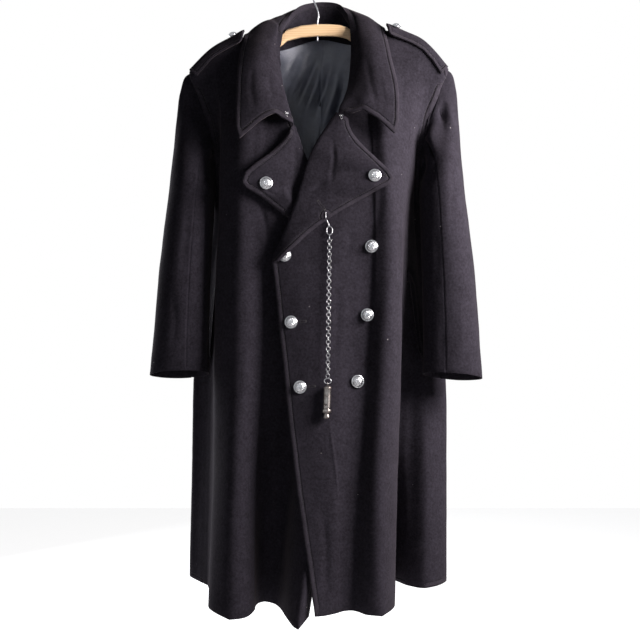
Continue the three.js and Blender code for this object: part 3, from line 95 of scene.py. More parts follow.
# ---- shader nodes
class Tree:
    """Short ways to lay out the nodes of a shader or of a node group."""

    def __init__(self, tree: bpy.types.NodeTree) -> None:
        """Keeps the tree."""
        self.tree = tree

    def add(self, kind: str, **settings: object) -> Node:
        """Adds a node of a kind and sets its properties."""
        node = self.tree.nodes.new(kind)
        for key, value in settings.items():
            setattr(node, key, value)
        return node

    def put(self, socket: Socket, value: object) -> None:
        """Links another socket to this one, or sets its plain value."""
        if isinstance(value, Socket):
            self.tree.links.new(value, socket)
        else:
            socket.default_value = value

    def math(self, operation: str, a: object, b: object = 0.0, clamp: bool = False) -> Socket:
        """Adds one step of arithmetic, kept from 0 to 1 where clamp says so."""
        node = self.add("ShaderNodeMath", operation=operation, use_clamp=clamp)
        self.put(node.inputs[0], a)
        self.put(node.inputs[1], b)
        return node.outputs[0]

    def times(self, a: object, b: object) -> Socket:
        """Multiplies two values."""
        return self.math("MULTIPLY", a, b)

    def plus(self, a: object, b: object) -> Socket:
        """Adds two values."""
        return self.math("ADD", a, b)

    def weighted(self, *parts: tuple[object, float]) -> Socket:
        """Adds values by their shares."""
        total, *rest = (self.times(value, share) for value, share in parts)
        for part in rest:
            total = self.plus(total, part)
        return total

    def bell(self, distance: object, width: float) -> Socket:
        """Gives 1 at no distance, falling softly to 0 past a width."""
        reach = self.math("DIVIDE", distance, width)
        return self.math("POWER", math.e, self.times(self.times(reach, reach), -1.0))

    def noise(self, vector: object, scale: object, detail: float = 3.0, rough: float = 0.55) -> Socket:
        """Adds a noise pattern and returns its strength, from 0 to 1."""
        node = self.add("ShaderNodeTexNoise")
        self.put(node.inputs["Vector"], vector)
        self.put(node.inputs["Scale"], scale)
        self.plain(node, Detail=detail, Roughness=rough)
        return node.outputs["Fac"]

    def stretched(self, vector: object, scale: Sequence[float], turn: Sequence[float] = (0, 0, 0)) -> Socket:
        """Scales and turns the place that a pattern is read at."""
        node = self.add("ShaderNodeMapping")
        self.put(node.inputs["Vector"], vector)
        self.plain(node, Scale=scale, Rotation=turn)
        return node.outputs[0]

    def spread(self, value: object, low: float, high: float, to_low: float = 0.0,
               to_high: float = 1.0) -> Socket:
        """Maps a range of a value to another range, and clamps it there."""
        node = self.add("ShaderNodeMapRange")
        self.put(node.inputs["Value"], value)
        self.plain(node, From_Min=low, From_Max=high, To_Min=to_low, To_Max=to_high)
        return node.outputs["Result"]

    def blend(self, share: object, a: object, b: object) -> Socket:
        """Mixes two colours by a share."""
        node = self.add("ShaderNodeMix", data_type="RGBA")
        for index, value in ((0, share), (6, a), (7, b)):
            self.put(node.inputs[index], value)
        return node.outputs[2]

    def bump(self, height: object, normal: object = None) -> Socket:
        """Turns a height in metres into a normal."""
        node = self.add("ShaderNodeBump")
        self.plain(node, Distance=1.0)
        self.put(node.inputs["Height"], height)
        if normal is not None:
            self.put(node.inputs["Normal"], normal)
        return node.outputs[0]

    def plain(self, node: Node, **values: object) -> None:
        """Sets plain values on a node's inputs, by name, with underscores for spaces."""
        for key, value in values.items():
            node.inputs[key.replace("_", " ")].default_value = value

    def surface(self, shader: Node, colour: Socket, rough: Socket, height: Socket,
                normal: object = None) -> None:
        """Links a finish's colour, its roughness and its relief, over another normal if there is one."""
        self.put(shader.inputs["Base Color"], colour)
        self.put(shader.inputs["Roughness"], rough)
        self.put(shader.inputs["Normal"], self.bump(height, normal))

    def attribute(self, name: str) -> Socket:
        """Reads a number that is stored on the mesh's points."""
        node = self.add("ShaderNodeAttribute", attribute_name=name)
        return node.outputs["Fac"]


def rgba(colour: Sequence[float]) -> tuple[float, float, float, float]:
    """Gives a colour its alpha."""
    return (colour[0], colour[1], colour[2], 1.0)


def new_group(name: str, takes: Sequence[str], gives: Sequence[str]) -> tuple[Tree, dict, dict]:
    """Starts a shader node group of plain values.

    Args:
        name: The group's name.
        takes: Names of the inputs: Vector is a place, and every other is a number.
        gives: Names of the outputs, which are all numbers.

    Returns:
        The group's tree, its input sockets and its output sockets by name.
    """
    group = bpy.data.node_groups.new(name, "ShaderNodeTree")
    for label in takes:
        kind = "NodeSocketVector" if label == "Vector" else "NodeSocketFloat"
        group.interface.new_socket(label, in_out="INPUT", socket_type=kind)
    for label in gives:
        group.interface.new_socket(label, in_out="OUTPUT", socket_type="NodeSocketFloat")
    start = group.nodes.new("NodeGroupInput")
    end = group.nodes.new("NodeGroupOutput")
    ins = {label: start.outputs[label] for label in takes}
    outs = {label: end.inputs[label] for label in gives}
    return Tree(group), ins, outs


def nap_group() -> bpy.types.NodeTree:
    """Builds the group for milled wool: its fibres, mottling and specks of lint."""
    tree, ins, outs = new_group("Milled wool nap", ("Vector", "Fibre scale", "Lint share"),
                                ("Shade", "Height", "Lint"))
    brushed = tree.stretched(ins["Vector"], (1.0, 1.0, 0.55))
    fibres = tree.noise(brushed, ins["Fibre scale"], 4.0, 0.7)
    tufts = tree.noise(ins["Vector"], 210.0, 3.0, 0.6)
    mottle = tree.noise(ins["Vector"], 46.0, 4.0, 0.6)
    patches = tree.noise(ins["Vector"], 7.0, 2.0, 0.5)
    shade = tree.weighted((fibres, 0.30), (tufts, 0.40), (mottle, 0.18), (patches, 0.12))
    tree.put(outs["Shade"], tree.spread(shade, 0.33, 0.67))
    tree.put(outs["Height"], tree.weighted((fibres, 0.16 * MM), (tufts, 0.34 * MM), (mottle, 0.5 * MM)))
    cells = tree.add("ShaderNodeTexVoronoi", feature="F1")
    tree.put(cells.inputs["Vector"], tree.stretched(ins["Vector"], (1.0, 1.0, 0.7), (0.3, 0.5, 0.2)))
    cells.inputs["Scale"].default_value = 64.0
    parts = tree.add("ShaderNodeSeparateColor")
    tree.put(parts.inputs[0], cells.outputs["Color"])
    chosen = tree.math("GREATER_THAN", ins["Lint share"], parts.outputs[0])
    radius = tree.spread(parts.outputs[1], 0.0, 1.0, 0.02, 0.055)
    speck = tree.math("GREATER_THAN", radius, cells.outputs["Distance"])
    tree.put(outs["Lint"], tree.times(chosen, speck))
    return tree.tree


def edge_group() -> bpy.types.NodeTree:
    """Builds the group for a stitched edge: its roll, the stitches' groove, and the wear and painted
    highlight on the roll's crown.
    """
    tree, ins, outs = new_group("Stitched edge", ("Edge", "Seam"), ("Height", "Wear and highlight"))
    share = tree.math("DIVIDE", ins["Edge"], BAND, clamp=True)
    centred = tree.math("SUBTRACT", tree.times(share, 2.0), 1.0)
    crown = tree.math("SUBTRACT", 1.0, tree.math("POWER", tree.math("ABSOLUTE", centred), 2.4))
    roll = tree.times(crown, 1.3 * MM)
    groove = tree.bell(tree.math("SUBTRACT", ins["Edge"], BAND), 1.7 * MM)
    height = tree.math("SUBTRACT", roll, tree.times(groove, 0.7 * MM))
    sunk = tree.bell(ins["Seam"], 2.4 * MM)
    tree.put(outs["Height"], tree.math("SUBTRACT", height, tree.times(sunk, 0.6 * MM)))
    # marks the roll's crown for a lighter colour: rubbed wear and a painted highlight where the raised roll
    # catches the light
    rubbed_and_highlit = tree.times(crown, tree.math("GREATER_THAN", BAND, ins["Edge"]))
    tree.put(outs["Wear and highlight"], tree.math("SUBTRACT", rubbed_and_highlit, tree.times(groove, 0.8), clamp=True))
    return tree.tree


def tarnish_group() -> bpy.types.NodeTree:
    """Builds the group for handled metal: fine scratches and duller patches."""
    tree, ins, outs = new_group("Handled metal", ("Vector", "Patch scale"), ("Dull", "Height"))
    patches = tree.noise(ins["Vector"], ins["Patch scale"], 5.0, 0.65)
    scratches = tree.noise(tree.stretched(ins["Vector"], (1.0, 1.0, 0.12), (0.4, 0.2, 0.9)), 2600.0, 2.0, 0.5)
    tree.put(outs["Dull"], tree.spread(patches, 0.36, 0.66))
    tree.put(outs["Height"], tree.weighted((scratches, 0.02 * MM), (patches, 0.04 * MM)))
    return tree.tree


class Groups:
    """The node groups that several finishes share, each built once."""

    _built: ClassVar[dict[str, bpy.types.NodeTree]] = {}

    @classmethod
    def place(cls, tree: Tree, make: Callable[[], bpy.types.NodeTree], **values: object) -> Node:
        """Places a shared group, with its inputs by name, underscores standing for spaces."""
        group = cls._built.get(make.__name__) or cls._built.setdefault(make.__name__, make())
        node = tree.add("ShaderNodeGroup", node_tree=group)
        for key, value in values.items():
            tree.put(node.inputs[key.replace("_", " ")], value)
        return node


def start_material(name: str) -> tuple[Material, Tree, Node, Socket]:
    """Starts a material, and gives its tree, its shader and the object's own coordinates too."""
    material = bpy.data.materials.new(name)
    material.use_nodes = True
    tree = Tree(material.node_tree)
    shader = next(n for n in material.node_tree.nodes if n.type == "BSDF_PRINCIPLED")
    where = tree.add("ShaderNodeTexCoord").outputs["Object"]
    return material, tree, shader, where


# ---- finishes
@dataclass(frozen=True)
class MeltonWool:
    """Heavy milled wool, near black, with a short nap, specks of lint, and edges lighter from wear and from a
    painted highlight on their rolled crown.
    """

    name: str = "black wool melton"
    deep: Colour = (0.0090, 0.0078, 0.0100)
    lit: Colour = (0.0365, 0.0322, 0.0425)
    # lighter colour of the rolled edges: rubbed wear and a painted highlight on the roll's crown
    rubbed_and_highlit: Colour = (0.0470, 0.0405, 0.0500)
    lint: Colour = (0.30, 0.28, 0.28)
    lint_share: float = 0.16
    sheen: float = 0.06

    def material(self) -> Material:
        """Builds the material."""
        material, tree, shader, where = start_material(self.name)
        nap = Groups.place(tree, nap_group, Vector=where, Fibre_scale=950.0, Lint_share=self.lint_share)
        edge = Groups.place(tree, edge_group, Edge=tree.attribute("edge"), Seam=tree.attribute("seam"))
        colour = tree.blend(nap.outputs["Shade"], rgba(self.deep), rgba(self.lit))
        # lightens the crown of each stitched edge's roll: rubbed wear and a painted highlight
        wear = tree.times(edge.outputs["Wear and highlight"], tree.spread(nap.outputs["Shade"], 0.1, 0.9, 0.15, 0.65))
        colour = tree.blend(wear, colour, rgba(self.rubbed_and_highlit))
        colour = tree.blend(nap.outputs["Lint"], colour, rgba(self.lint))
        tree.surface(shader, colour, tree.spread(nap.outputs["Shade"], 0.0, 1.0, 0.88, 0.98),
                     nap.outputs["Height"], tree.bump(edge.outputs["Height"]))
        tree.plain(shader, Sheen_Weight=self.sheen, Sheen_Roughness=0.45, Sheen_Tint=(0.80, 0.66, 0.66, 1.0),
                   Specular_IOR_Level=0.03)
        return material


@dataclass(frozen=True)
class Satin:
    """Dark blue-grey lining satin with a fine diagonal weave."""

    name: str = "blue grey lining satin"
    deep: Colour = (0.048, 0.053, 0.074)
    lit: Colour = (0.178, 0.187, 0.246)

    def material(self) -> Material:
        """Builds the material."""
        material, tree, shader, where = start_material(self.name)
        ribs = tree.add("ShaderNodeTexWave", bands_direction="DIAGONAL")
        tree.put(ribs.inputs["Vector"], where)
        tree.plain(ribs, Scale=420.0, Distortion=0.6)
        cloudy = tree.noise(where, 24.0, 4.0, 0.6)
        shade = tree.weighted((cloudy, 0.75), (ribs.outputs["Fac"], 0.25))
        fine = tree.weighted((ribs.outputs["Fac"], 0.04 * MM), (cloudy, 0.9 * MM))
        tree.surface(shader, tree.blend(tree.spread(shade, 0.3, 0.75), rgba(self.deep), rgba(self.lit)),
                     tree.spread(cloudy, 0.3, 0.7, 0.34, 0.5), fine)
        tree.plain(shader, Specular_IOR_Level=0.65, Sheen_Weight=0.12, Sheen_Tint=(0.7, 0.8, 1.0, 1.0))
        return material


@dataclass(frozen=True)
class Metal:
    """Plated metal with duller patches and fine scratches."""

    name: str
    bright: Colour
    dull: Colour
    polish: tuple[float, float] = (0.16, 0.42)
    patch_scale: float = 160.0

    def material(self) -> Material:
        """Builds the material."""
        material, tree, shader, where = start_material(self.name)
        wear = Groups.place(tree, tarnish_group, Vector=where, Patch_scale=self.patch_scale)
        dull = wear.outputs["Dull"]
        tree.surface(shader, tree.blend(dull, rgba(self.bright), rgba(self.dull)),
                     tree.spread(dull, 0.0, 1.0, *self.polish), wear.outputs["Height"])
        tree.plain(shader, Metallic=1.0)
        return material


@dataclass(frozen=True)
class Maple:
    """Pale varnished hanger wood, with its grain along X."""

    name: str = "pale varnished maple"
    pale: Colour = (0.90, 0.62, 0.36)
    grain: Colour = (0.72, 0.43, 0.20)

    def material(self) -> Material:
        """Builds the material."""
        material, tree, shader, where = start_material(self.name)
        along = tree.stretched(where, (0.09, 1.0, 1.0))
        bands = tree.add("ShaderNodeTexWave", bands_direction="Z")
        tree.put(bands.inputs["Vector"], along)
        tree.plain(bands, Scale=62.0, Distortion=5.0, Detail_Scale=1.6)
        pores = tree.noise(tree.stretched(where, (0.05, 1.0, 1.0)), 1500.0, 3.0, 0.6)
        shade = tree.weighted((bands.outputs["Fac"], 0.45), (pores, 0.4))
        tree.surface(shader, tree.blend(tree.spread(shade, 0.35, 1.0), rgba(self.pale), rgba(self.grain)),
                     tree.spread(pores, 0.3, 0.7, 0.36, 0.5), tree.times(pores, 0.06 * MM))
        tree.plain(shader, Coat_Weight=0.35, Coat_Roughness=0.22)
        return material


@dataclass(frozen=True)
class Thread:
    """Sewing thread: a fine twist, a little smoother than the cloth."""

    name: str
    dark: Colour = (0.012, 0.010, 0.011)
    light: Colour = (0.040, 0.034, 0.035)

    def material(self) -> Material:
        """Builds the material."""
        material, tree, shader, where = start_material(self.name)
        twist = tree.noise(where, 2400.0, 2.0, 0.5)
        tree.surface(shader, tree.blend(twist, rgba(self.dark), rgba(self.light)),
                     tree.spread(twist, 0.3, 0.7, 0.5, 0.7), tree.times(twist, 0.08 * MM))
        return material


@dataclass(frozen=True)
class Paint:
    """The plain pale surface of the studio."""

    name: str = "studio white"
    colour: Colour = (0.94, 0.94, 0.94)
    shaded: Colour = (0.9, 0.9, 0.9)

    def material(self) -> Material:
        """Builds the material."""
        material, tree, shader, where = start_material(self.name)
        cloudy = tree.noise(where, 3.0, 2.0, 0.5)
        shade = tree.spread(cloudy, 0.3, 0.7, 0.0, 0.3)
        tree.put(shader.inputs["Base Color"], tree.blend(shade, rgba(self.colour), rgba(self.shaded)))
        seen = tree.times(tree.add("ShaderNodeLightPath").outputs["Is Camera Ray"], 0.82)
        tree.put(shader.inputs["Emission Color"], seen)
        tree.plain(shader, Roughness=0.85, Emission_Strength=1.0)
        return material


SILVER = Metal("nickel silver buttons", (0.84, 0.84, 0.85), (0.34, 0.34, 0.36), (0.2, 0.42), 420.0)
NICKEL = Metal("nickel plated wire", (0.56, 0.56, 0.57), (0.20, 0.20, 0.21), (0.2, 0.42), 300.0)
OLD_NICKEL = Metal("worn nickel whistle", (0.40, 0.37, 0.35), (0.14, 0.115, 0.105), (0.2, 0.4), 90.0)


class Palette:
    """Every finish of the coat, each made once, with the record's slot that it belongs to."""

    def __init__(self) -> None:
        """Builds the materials."""
        self.wool = MeltonWool().material()
        self.satin = Satin().material()
        self.silver = SILVER.material()
        self.nickel = NICKEL.material()
        self.old_nickel = OLD_NICKEL.material()
        self.maple = Maple().material()
        self.thread = Thread("black sewing thread").material()
        self.paint = Paint().material()
        self.slots = {
            self.wool.name: "wool", self.thread.name: "wool", self.satin.name: "lining",
            self.silver.name: "nickel", self.nickel.name: "nickel", self.old_nickel.name: "whistle",
            self.maple.name: "wood",
        }

    def finish(self, piece: Piece, material: Material, node: str = "", body: str = COAT) -> Piece:
        """Gives a piece its material and body, and hides the solid that it replaces, if any."""
        piece.data.materials.clear()
        piece.data.materials.append(material)
        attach(piece, body)
        if node:
            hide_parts(node)
        return piece


# ---- working in the scene
def only(piece: Piece) -> None:
    """Selects one object alone, as the active one."""
    if bpy.context.object and bpy.context.object.mode != "OBJECT":
        mode("OBJECT")
    bpy.ops.object.select_all(action="DESELECT")
    piece.select_set(True)
    bpy.context.view_layer.objects.active = piece


def mode(name: str) -> None:
    """Switches the active object's mode."""
    bpy.ops.object.mode_set(mode=name)


def link(name: str, data: bpy.types.ID) -> Piece:
    """Makes an object of data and links it to the scene."""
    piece = bpy.data.objects.new(name, data)
    bpy.context.scene.collection.objects.link(piece)
    return piece


def points_of(mesh: Mesh) -> np.ndarray:
    """Reads a mesh's points as rows of x, y, z."""
    flat = np.empty(len(mesh.vertices) * 3)
    mesh.vertices.foreach_get("co", flat)
    return flat.reshape(-1, 3)


def move_points(mesh: Mesh, points: np.ndarray) -> None:
    """Puts a mesh's points at new places."""
    mesh.vertices.foreach_set("co", points.astype(np.float32).ravel())
    mesh.update()


def apply_all(piece: Piece) -> None:
    """Applies every modifier of a piece in order."""
    only(piece)
    for modifier in list(piece.modifiers):
        bpy.ops.object.modifier_apply(modifier=modifier.name)


def store(mesh: Mesh, name: str, values: Iterable[float]) -> None:
    """Stores one number a point under a name."""
    layer = mesh.attributes.get(name) or mesh.attributes.new(name, "FLOAT", "POINT")
    layer.data.foreach_set("value", np.asarray(list(values), np.float32))


def merged_copy(node: str, name: str) -> Piece:
    """Copies a solid of the frame under a new name and sews its loose triangles into quads."""
    piece = link(name, NODES[node].data.copy())
    piece.data.name = name
    only(piece)
    mode("EDIT")
    bpy.ops.mesh.select_all(action="SELECT")
    bpy.ops.mesh.remove_doubles(threshold=DOUBLE)
    bpy.ops.mesh.tris_convert_to_quads(face_threshold=math.pi, shape_threshold=math.pi)
    mode("OBJECT")
    if piece.data.has_custom_normals:
        bpy.ops.mesh.customdata_custom_splitnormals_clear()
    bpy.ops.object.shade_smooth()
    for layer in list(piece.data.uv_layers):
        piece.data.uv_layers.remove(layer)
    return piece


def tree_of(mesh: Mesh) -> BVHTree:
    """Builds a search tree over a mesh's faces."""
    return BVHTree.FromPolygons([v.co for v in mesh.vertices], [tuple(p.vertices) for p in mesh.polygons])


def join(name: str, points: Sequence[np.ndarray], faces: Sequence[np.ndarray]) -> Piece:
    """Makes one piece of many small parts, whose faces are numbered from each one's first point."""
    mesh = bpy.data.meshes.new(name)
    start, every = 0, []
    for own, part in zip(points, faces):
        every.extend((np.asarray(part) + start).tolist())
        start += len(own)
    mesh.from_pydata(np.vstack(points).tolist(), [], every)
    mesh.update()
    piece = link(name, mesh)
    only(piece)
    bpy.ops.object.shade_smooth()
    return piece


def place(piece: Piece, matrix: Matrix) -> None:
    """Puts a piece's points where a matrix says, and leaves its object at the origin."""
    piece.data.transform(matrix)
    piece.data.update()


def facing_frame(origin: Vector, axis: Vector, side: Vector = Vector((1, 0, 0))) -> Matrix:
    """Makes a place whose Z is an axis and whose X leans towards a side."""
    z = axis.normalized()
    x = (side - z * side.dot(z)).normalized()
    y = z.cross(x)
    return Matrix.Translation(origin) @ Matrix((x, y, z)).transposed().to_4x4()


def tidy_normals(piece: Piece) -> None:
    """Merges a closed piece's double points and turns its faces outwards."""
    only(piece)
    mode("EDIT")
    bpy.ops.mesh.select_all(action="SELECT")
    bpy.ops.mesh.remove_doubles(threshold=DOUBLE)
    bpy.ops.mesh.normals_make_consistent(inside=False)
    mode("OBJECT")


def bevelled(piece: Piece, width: float, segments: int, angle: float = 30.0) -> None:
    """Rounds a piece's sharp edges and smooths the rest."""
    bevel = piece.modifiers.new("Rounding", "BEVEL")
    bevel.width, bevel.segments = width, segments
    bevel.limit_method, bevel.angle_limit = "ANGLE", math.radians(angle)
    apply_all(piece)
    bpy.ops.object.shade_smooth_by_angle(angle=math.radians(40))


def extrude_up(height: float) -> None:
    """Extrudes the selected faces along Z."""
    bpy.ops.mesh.extrude_region_move(TRANSFORM_OT_translate={"value": (0, 0, height)})


def open_faces(piece: Piece, wanted: Callable[[bpy.types.MeshPolygon], bool]) -> None:
    """Opens a piece for editing with only the wanted faces selected."""
    for part in (*piece.data.vertices, *piece.data.edges):
        part.select = False
    for face in piece.data.polygons:
        face.select = wanted(face)
    mode("EDIT")
    bpy.ops.mesh.select_mode(type="FACE")


def close_faces() -> None:
    """Ends the editing of picked faces."""
    bpy.ops.mesh.select_mode(type="VERT")
    mode("OBJECT")


def wire(name: str, points: Sequence[Vector], radius: float, rings: int = 6) -> Piece:
    """Bends a wire through points of the frame, with steps between two of them, and makes it a mesh."""
    curve = bpy.data.curves.new(name, "CURVE")
    curve.dimensions = "3D"
    curve.bevel_depth, curve.bevel_resolution = radius, 3
    curve.resolution_u, curve.use_fill_caps = rings, True
    spline = curve.splines.new("BEZIER")
    spline.bezier_points.add(len(points) - 1)
    for knot, point in zip(spline.bezier_points, points):
        knot.co = point
        knot.handle_left_type = knot.handle_right_type = "AUTO"
    only(link(name, curve))
    bpy.ops.object.convert(target="MESH")
    piece = bpy.context.object
    tidy_normals(piece)
    bpy.ops.object.shade_smooth()
    return piece


def joined(name: str, pieces: Sequence[Piece]) -> Piece:
    """Joins pieces into the first one and names the result."""
    only(pieces[0])
    for piece in pieces[1:]:
        piece.select_set(True)
    if len(pieces) > 1:
        bpy.ops.object.join()
    whole = bpy.context.object
    whole.name = whole.data.name = name
    return whole


# ---- creases listed one by one
class Side(Enum):
    """Which way a crease faces."""

    FRONT = -1
    BACK = 1


class Region(Enum):
    """The parts of the coat that creases are laid on."""

    BODY = "body"
    SLEEVE_RIGHT = "sleeve_right"
    SLEEVE_LEFT = "sleeve_left"
    COLLAR = "collar"
    LAPELS = "lapels"
    LINING = "lining"
    TRIM = "trim"


@dataclass(frozen=True)
class Crease:
    """One soft trough or ridge in the cloth.

    The path is x, z in millimetres. The height is above the cloth where it is positive. Fade is the share
    of the path at each end over which the crease rises.
    """

    region: Region
    path: tuple[tuple[float, float], ...]
    width: float
    height: float
    side: Side = Side.FRONT
    fade: float = 0.3

    def lift(self, x: np.ndarray, z: np.ndarray) -> np.ndarray:
        """Gives the crease's height at places, all in metres."""
        path = np.array(self.path) * MM
        lengths = np.hypot(*np.diff(path, axis=0).T)
        total = lengths.sum()
        best, along = np.full(len(x), np.inf), np.zeros(len(x))
        start = 0.0
        for (ax, az), (bx, bz), length in zip(path[:-1], path[1:], lengths):
            share = np.clip(((x - ax) * (bx - ax) + (z - az) * (bz - az)) / length**2, 0, 1)
            gap = np.hypot(x - ax - share * (bx - ax), z - az - share * (bz - az))
            near = gap < best
            best = np.where(near, gap, best)
            along = np.where(near, (start + share * length) / total, along)
            start += length
        ends = np.clip(np.minimum(along, 1 - along) / self.fade, 0, 1)
        ends = ends * ends * (3 - 2 * ends)
        reach = best / (self.width * MM)
        return self.height * MM * np.exp(-(reach**2) * 1.6) * (0.12 + 0.88 * ends) * (reach < 2.4)


# width and height of each crease, then its path: x, z, x, z and so on, all in millimetres
CREASE_ROWS: dict[tuple[Region, Side, float], tuple[tuple[float, ...], ...]] = {
    (Region.BODY, Side.FRONT, 0.3): (
        (7, -3.2, -118, -460, -106, -503, -93, -548), (7, -1.6, -128, -310, -126, -365, -136, -408),
        (13, -4.5, 112, -566, 104, -720, 97, -858, 87, -1015, 77, -1173),
        (3, 1.3, 20, -889, 28, -944, 36, -999, 41, -1064), (3, -0.9, -4, -952, 30, -950),
        (4, -1.2, -55, -802, -24, -800, 8, -806), (8, -2.6, 126, -420, 124, -473, 114, -527),
        (8, -1.8, 63, -507, 65, -542, 55, -586), (12, -3.4, 79, -1064, 73, -1173, 63, -1275),
        (5, 1.5, -122, -828, -120, -1015, -116, -1232), (10, -1.6, -152, -542, -148, -720, -158, -917),
        (7, -1.5, -108, -720, -110, -858, -102, -996), (9, -1.8, 8, -1055, 16, -1143, 14, -1252),
        (9, -1.5, 36, -602, 39, -700, 30, -802), (8, 1.4, 150, -661, 144, -838, 148, -1015),
        (10, -2.4, 227, -848, 221, -936, 215, -1094), (9, -1.7, -175, -385, -171, -454, -177, -542),
        (8, -1.6, 138, -290, 144, -365, 152, -464), (9, -1.8, -181, -661, -175, -759, -183, -897),
        (11, -1.6, -154, -1015, -158, -1133, -152, -1252),
    ),
    (Region.LAPELS, Side.FRONT, 0.3): (
        (5, -2.4, 30, -345, 32, -385, 26, -432), (3.5, -1.1, -110, -436, -94, -448, -77, -456),
        (7, -1.3, -49, -345, -43, -385, -49, -428), (6, -1, -18, -456, 0, -436, 24, -426),
    ),
    (Region.COLLAR, Side.FRONT, 0.3): (
        (8, -1.6, -130, -188, -134, -237, -124, -290), (6, -1.2, -94, -168, -98, -223, -89, -267),
        (7, -1.5, 97, -168, 104, -227, 118, -290), (5, 0.9, 130, -208, 136, -251, 142, -296),
    ),
    (Region.SLEEVE_RIGHT, Side.FRONT, 0.3): (
        (9, -2.6, -260, -464, -264, -533, -272, -611), (7, 1.6, -240, -513, -250, -582, -256, -680),
        (5, -2.6, -221, -395, -232, -420, -248, -432), (8, -2, -290, -641, -284, -710, -292, -763),
        (6, -1.6, -228, -621, -252, -645, -276, -655), (6, -1.4, -244, -720, -256, -749, -252, -783),
    ),
    (Region.SLEEVE_LEFT, Side.FRONT, 0.3): (
        (7, -3.2, 221, -432, 231, -401, 242, -369), (9, -1.8, 270, -365, 274, -444, 266, -533),
        (8, -1.8, 234, -493, 240, -572, 234, -661), (6, -1.7, 233, -633, 258, -647, 288, -643),
        (7, 1.3, 284, -661, 290, -720, 282, -775), (6, -1.4, 252, -700, 248, -749, 254, -787),
    ),
    (Region.BODY, Side.BACK, 0.3): (
        (12, -3.4, -150, -170, -158, -300, -150, -440), (10, -2.6, -95, -200, -84, -330, -92, -520),
        (15, -4.6, -120, -430, -128, -620, -118, -860), (13, -3.8, -60, -560, -66, -760, -58, -1010),
        (13, -4, -170, -700, -176, -880, -168, -1120), (10, -2.4, -98, -980, -92, -1100, -97, -1230),
        (9, -2, -28, -300, -36, -430, -30, -560), (10, -2.6, 46, -250, 52, -380, 45, -500),
        (15, -4.8, 88, -420, 80, -640, 87, -900), (12, -3.2, 132, -190, 140, -330, 131, -480),
        (12, -3.6, 150, -620, 157, -820, 149, -1040), (12, -3.2, 38, -700, 44, -900, 36, -1130),
        (10, -2.8, 112, -940, 118, -1080, 110, -1220), (11, -3, 185, -820, 180, -980, 187, -1160),
        (8, -2.6, -196, -330, -178, -352, -150, -362), (8, -2.4, 190, -322, 172, -340, 148, -352),
        (9, -1.8, -60, -236, -20, -248, 30, -240), (10, -2.8, -200, -560, -205, -680, -198, -800),
        (10, -2.6, 202, -500, 207, -640, 199, -760),
    ),
    (Region.SLEEVE_RIGHT, Side.BACK, 0.3): (
        (9, -2.8, -262, -360, -266, -470, -270, -590), (6, -1.8, -296, -560, -284, -572, -262, -574),
        (8, -2.2, -285, -640, -290, -730, -296, -800), (7, -2.2, -240, -320, -255, -345, -275, -352),
    ),
    (Region.SLEEVE_LEFT, Side.BACK, 0.3): (
        (9, -2.6, 258, -380, 263, -480, 262, -600), (7, -2.4, 240, -330, 252, -352, 270, -362),
        (6, -1.9, 250, -590, 268, -604, 290, -600), (8, -2, 276, -650, 284, -740, 286, -810),
    ),
    (Region.LINING, Side.FRONT, 0.4): (
        (9, 3.4, -20, -132, -42, -185, -66, -235), (7.5, -2.9, 4, -135, -22, -195, -50, -262),
        (9.5, 3.8, 14, -140, -4, -200, -34, -280), (8, -3.1, 34, -140, 16, -205, -14, -290),
        (10.5, 3.5, 46, -150, 34, -215, 4, -310), (8.5, -2.8, 58, -180, 46, -240, 22, -310),
    ),
    (Region.LINING, Side.FRONT, 0.5): (
        (7, -2.2, -40, -130, -58, -165, -72, -190), (8, 2.2, 0, -290, -8, -330, -12, -380),
        (5.5, -1.8, -12, -118, -24, -150, -40, -176),
    ),
    (Region.LINING, Side.FRONT, 0.05): (
        (1.8, -1.6, 6, -70, 6, -230, 5, -420),
    ),
}
CREASES = tuple(
    Crease(region, tuple(zip(row[2::2], row[3::2])), row[0], row[1], side, fade)
    for (region, side, fade), rows in CREASE_ROWS.items() for row in rows
)


